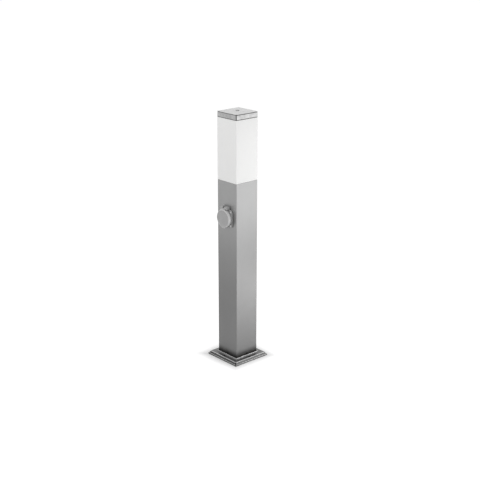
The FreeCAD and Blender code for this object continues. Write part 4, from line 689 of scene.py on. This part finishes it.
def make_post_screws():
    """A screw with a six-sided recess near the foot of each of the post's faces."""
    low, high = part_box("post_screws")
    radius, height = (high.z - low.z) / 2 / MM, high.x / MM - HALF_SIDE
    seat = Matrix.Translation((HALF_SIDE * MM, 0, (low.z + high.z) / 2))
    outward = Matrix.Rotation(math.pi / 2, 4, "Y")
    bm = bmesh.new()
    for quarter in range(4):
        turn = Matrix.Rotation(math.pi / 2 * quarter, 4, "Z")
        add_mesh(bm, screw_head(radius, height, "hexagon"), turn @ seat @ outward)
    return finished(bm, "post_screw_heads", "screw_steel", "post", ["post_screws"])


def make_cap_screw():
    """The screw on top of the cap, with its shank."""
    low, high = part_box("cap_screw")
    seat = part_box("cap_washer")[1].z
    bm = screw_head(high.x / MM, (high.z - seat) / MM, "hexagon")
    bmesh.ops.translate(bm, vec=(0, 0, seat), verts=bm.verts)
    foot, top = low.z / MM, seat / MM - CAP_SHANK_GAP
    shank = bmesh.new()
    spun(shank, [(0.0, foot), (CAP_SHANK, foot), (CAP_SHANK, top), (0.0, top)], steps=24)
    add_mesh(bm, shank)
    return finished(bm, "cap_screw_head", "screw_steel", "post", ["cap_screw"])


# Socket outlet: its pieces are drawn facing up Z and turned onto the face of the post

SOCKET_UP = (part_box("backing_plate")[0].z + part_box("backing_plate")[1].z) / 2
POST_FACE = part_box("post_tube")[0].y
ON_SOCKET = Matrix.Translation((0, POST_FACE, SOCKET_UP)) @ Matrix.Rotation(math.pi / 2, 4, "X")
FLANGE_FRONT = 4.0
HINGE = named(frame["joints"], "lid_hinge")["pos_m"]
HINGE_UP, HINGE_OUT = (HINGE[2] - SOCKET_UP) / MM, (POST_FACE - HINGE[1]) / MM


def make_flange_screws():
    """A screw with a crossed recess in each corner of the socket's flange."""
    bm = bmesh.new()
    for x in (-FLANGE_HEAD_OUT, FLANGE_HEAD_OUT):
        for y in (-FLANGE_HEAD_OUT, FLANGE_HEAD_OUT):
            turn = Matrix.Rotation(FLANGE_HEAD_TURN * x / y, 4, "Z")
            place = ON_SOCKET @ Matrix.Translation(mm(x, y, FLANGE_FRONT)) @ turn
            add_mesh(bm, screw_head(FLANGE_HEAD, FLANGE_HEAD_HEIGHT, "cross"), place)
    return finished(bm, "flange_screw_heads", "screw_steel", "post", ["flange_screws"])


# Lid: a rolled rim and a dished face, a hinge arm with two knuckles, and a thumb tab

LID_INSIDE, LID_DEPTH, LID_SHEET, LID_ROLL = 23.4, 7.5, 2.0, 2.4
# The dished face, as (radius, how far it lies behind the front)
DISH_RADIUS, DISH = 21.2, ((20.7, 0.5), (19.9, 0.5), (18.8, 0.4), (0.0, 0.2))
ARM_OUT, ARM_IN, ARM_THICK, ARM_FOOT = 7.2, 3.1, 1.2, 23.6
BRIDGE_SIDE, BRIDGE_PAST, BRIDGE_SUNK = 3.4, 0.5, 0.05
KNUCKLE_RADIUS, KNUCKLE_BORE, KNUCKLE_LENGTH = 4.0, 1.31, 4.1
TAB_SIDE, TAB_OUT, TAB_IN, TAB_BACK, TAB_FRONT = 7.0, 27.4, 23.5, 3.5, 1.5
# The rim's finish is the lid's second one, a lighter copy of its plastic as a painted highlight, and starts at
# this radius
RIM_HIGHLIGHT, RIM_START = 1, 24.7


def add_knuckle(bm, low):
    """A hinge knuckle along X from one of its ends."""
    high = low + KNUCKLE_LENGTH
    knuckle = bmesh.new()
    spun(knuckle, [
        (KNUCKLE_BORE, low), (KNUCKLE_RADIUS, low), (KNUCKLE_RADIUS, high), (KNUCKLE_BORE, high),
    ], steps=48, closed=True)
    for height in (low, high):
        bevelled(knuckle, round_edges(knuckle, KNUCKLE_RADIUS, height), offset=0.3, segments=2)
    along = Matrix.Translation(mm(0, HINGE_UP, HINGE_OUT)) @ Matrix.Rotation(math.pi / 2, 4, "Y")
    add_mesh(bm, knuckle, along)


def add_arm(bm):
    """The hinge arm: two flat strips over the knuckles and a bridge between them."""
    top = HINGE_OUT + KNUCKLE_RADIUS
    foot = top - ARM_THICK
    for left, right in ((-ARM_OUT, -ARM_IN), (ARM_IN, ARM_OUT)):
        block(bm, (left, ARM_FOOT, foot), (right, HINGE_UP, top), edge=0.35)
    block(bm, (-BRIDGE_SIDE, ARM_FOOT, foot), (BRIDGE_SIDE, HINGE_UP + BRIDGE_PAST, top - BRIDGE_SUNK))


def make_lid():
    """The lid in its closed place, riding on the body that turns."""
    low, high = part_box("socket_lid")
    radius, front = high.x / MM, (POST_FACE - low.y) / MM
    back = front - LID_DEPTH
    dish = [(out, front - sunk) for out, sunk in DISH]
    bm = bmesh.new()
    spun(bm, [
        (0.0, front - LID_SHEET), (LID_INSIDE, front - LID_SHEET), (LID_INSIDE, back), (radius, back),
        (radius, front), (DISH_RADIUS, front), *dish,
    ], steps=96)
    roll = bevelled(bm, round_edges(bm, radius, front), LID_ROLL, segments=6)
    bevelled(bm, round_edges(bm, radius, back), offset=0.4, segments=2)
    # The roll and the rim get the lighter plastic as a painted highlight
    paint(roll, RIM_HIGHLIGHT)
    paint([face for face in bm.faces if face.calc_center_median().xy.length > RIM_START * MM], RIM_HIGHLIGHT)
    bevelled(bm, round_edges(bm, DISH_RADIUS, front), offset=0.3, segments=2)
    add_arm(bm)
    for knuckle_end in (-ARM_OUT, ARM_IN):
        add_knuckle(bm, knuckle_end)
    tab_low, tab_high = (-TAB_SIDE, -TAB_OUT, front - TAB_BACK), (TAB_SIDE, -TAB_IN, front - TAB_FRONT)
    block(bm, tab_low, tab_high, edge=0.7, segments=3)
    bmesh.ops.transform(bm, matrix=ON_SOCKET, verts=bm.verts)
    return finished(bm, "lid", "grey_plastic", "lid", ["socket_lid"], others=["rim_highlight_plastic"])


# Torsion spring: a coil round the hinge pin, one leg on the flange and one under the lid's arm

PITCH, TURNS, COIL, WIRE, LEG = 1.1, 3.5, 2.3, 0.3, 3.1
STEPS_PER_TURN, WIRE_SIDES = 32, 10


def make_spring():
    """The spring at rest, with both legs pointing down from the hinge."""
    bm = bmesh.new()
    start = -PITCH * TURNS / 2
    steps = int(TURNS * STEPS_PER_TURN)
    end = mm(start, HINGE_UP, HINGE_OUT - COIL)
    at_end = Matrix.Translation(end) @ Matrix.Rotation(-math.pi / 2, 4, "X")
    tail = bmesh.ops.create_circle(bm, cap_ends=True, segments=WIRE_SIDES, radius=WIRE * MM,
                                   matrix=at_end)["verts"]
    end_face = list(bm.faces)
    leg = bmesh.ops.extrude_face_region(bm, geom=end_face)["geom"]
    bmesh.ops.translate(bm, vec=mm(0, -LEG, 0), verts=of_kind(bmesh.types.BMVert, leg))
    bmesh.ops.delete(bm, geom=end_face, context="FACES_ONLY")
    wound = bmesh.ops.spin(bm, geom=list(tail) + ring_edges(tail), cent=mm(start, HINGE_UP, HINGE_OUT),
                           axis=(1, 0, 0), dvec=mm(PITCH * TURNS / steps, 0, 0), angle=math.tau * TURNS,
                           steps=steps)["geom_last"]
    tip = of_kind(bmesh.types.BMVert, wound)
    drawn = bmesh.ops.extrude_edge_only(bm, edges=ring_edges(tip))["geom"]
    leg_end = of_kind(bmesh.types.BMVert, drawn)
    bmesh.ops.translate(bm, vec=mm(0, -LEG, 0), verts=leg_end)
    bmesh.ops.contextual_create(bm, geom=ring_edges(leg_end))
    bmesh.ops.transform(bm, matrix=ON_SOCKET, verts=bm.verts)
    piece = finished(bm, "spring", "polished_steel", "post", ["lid_spring"])
    # It loses the parent that a riding piece has
    piece.parent = None
    piece.matrix_world = Matrix.Identity(4)
    return piece


make_foot_cover()
make_cap_sheet()
make_diffuser_shell()
make_post_screws()
make_cap_screw()
make_flange_screws()
make_lid()
spring = make_spring()


# Stage: a pale floor and soft studio light

FLOOR_REACH = 30.0
FLOOR_COLOUR = grey(0.8)
FLOOR_GLOW = 0.57
# Half sides in metres where the painted shadow round the foot is full and where it has gone
PAINTED_SHADOW_IN, PAINTED_SHADOW_OUT = 0.04, 0.1
WORLD_LIGHT = 0.55
# Name, place, target, size and power of each panel, in metres and watts
SOFTBOXES = [
    ("key", (0.78, 0.62, 0.29), (0.0, 0.0, 0.2), (1.3, 0.54), 3.1),
    ("low", (0.32, 0.2, 0.08), (0.0, 0.0, 0.06), (0.6, 0.12), 0.5),
    ("rim", (0.76, -0.19, 1.45), (0.0, -0.04, 0.42), (0.16, 0.16), 1.8),
    ("front", (-0.6, -1.8, 1.6), (0.0, 0.0, 0.4), (1.2, 1.2), 8.0),
]


def turned_to(place, target):
    """The turn of a lamp or camera that stands at a place and looks at a target."""
    return (Vector(target) - Vector(place)).to_track_quat("-Z", "Y").to_euler()


def sees_background(tree):
    """One for rays from the camera and for those that metal and glass send on."""
    rays = add_node(tree, "ShaderNodeLightPath")
    seen = math_node(tree, "MAXIMUM", rays.outputs["Is Camera Ray"], rays.outputs["Is Glossy Ray"])
    return math_node(tree, "MAXIMUM", seen, rays.outputs["Is Transmission Ray"])


def make_floor_finish():
    """White with a glow that fades out beside and under the foot: a painted shadow of the foot on the floor."""
    material = bpy.data.materials.new("floor_white")
    material.use_nodes = True
    tree = material.node_tree
    shader = tree.nodes["Principled BSDF"]
    shader.inputs["Base Color"].default_value = FLOOR_COLOUR
    shader.inputs["Roughness"].default_value = 0.9
    shader.inputs["Specular IOR Level"].default_value = 0.0
    shader.inputs["Emission Color"].default_value = grey(1.0)
    parts = add_node(tree, "ShaderNodeSeparateXYZ", {0: on_piece(tree)})
    along = math_node(tree, "ABSOLUTE", parts.outputs["X"])
    across = math_node(tree, "ABSOLUTE", parts.outputs["Y"])
    clear = ranged(tree, math_node(tree, "MAXIMUM", along, across), PAINTED_SHADOW_IN, PAINTED_SHADOW_OUT, smooth=True)
    seen = math_node(tree, "MULTIPLY", sees_background(tree), clear)
    tree.links.new(math_node(tree, "MULTIPLY", seen, FLOOR_GLOW), shader.inputs["Emission Strength"])
    return material


def make_floor():
    """A level square that reaches far past the view."""
    bm = bmesh.new()
    bmesh.ops.create_grid(bm, x_segments=1, y_segments=1, size=FLOOR_REACH)
    mesh = bpy.data.meshes.new("floor")
    bm.to_mesh(mesh)
    bm.free()
    mesh.materials.append(make_floor_finish())
    floor = bpy.data.objects.new("floor", mesh)
    bpy.context.scene.collection.objects.link(floor)


def make_world():
    """White to the camera and in reflections, and dimmer as light on the object."""
    world = bpy.data.worlds.new("studio")
    bpy.context.scene.world = world
    world.use_nodes = True
    tree = world.node_tree
    background = tree.nodes["Background"]
    background.inputs["Color"].default_value = grey(1.0)
    strength = ranged(tree, sees_background(tree), 0.0, 1.0, WORLD_LIGHT, 1.0)
    tree.links.new(strength, background.inputs["Strength"])


def add_softbox(name, place, target, size, power):
    """A soft panel of light that the camera doesn't see."""
    light = bpy.data.lights.new(name, "AREA")
    light.shape = "RECTANGLE"
    light.size, light.size_y = size
    light.energy = power
    lamp = bpy.data.objects.new(name, light)
    bpy.context.scene.collection.objects.link(lamp)
    lamp.location = place
    lamp.rotation_euler = turned_to(place, target)
    lamp.visible_camera = False


make_floor()
make_world()
for softbox in SOFTBOXES:
    add_softbox(*softbox)


# Camera at the photograph's viewing angle

CAMERA_PLACE = (1.9739, -1.7471, 1.2113)
CAMERA_AIM = (0.0046, 0.0048, 0.3402)
LENS, SENSOR = 76.35, 36.0

camera_data = bpy.data.cameras.new("camera")
camera_data.lens = LENS
camera_data.sensor_width = SENSOR
camera = bpy.data.objects.new("camera", camera_data)
bpy.context.scene.collection.objects.link(camera)
camera.location = CAMERA_PLACE
camera.rotation_euler = turned_to(CAMERA_PLACE, CAMERA_AIM)
bpy.context.scene.camera = camera
bpy.context.scene.view_settings.view_transform = "Standard"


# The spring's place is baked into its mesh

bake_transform(spring)
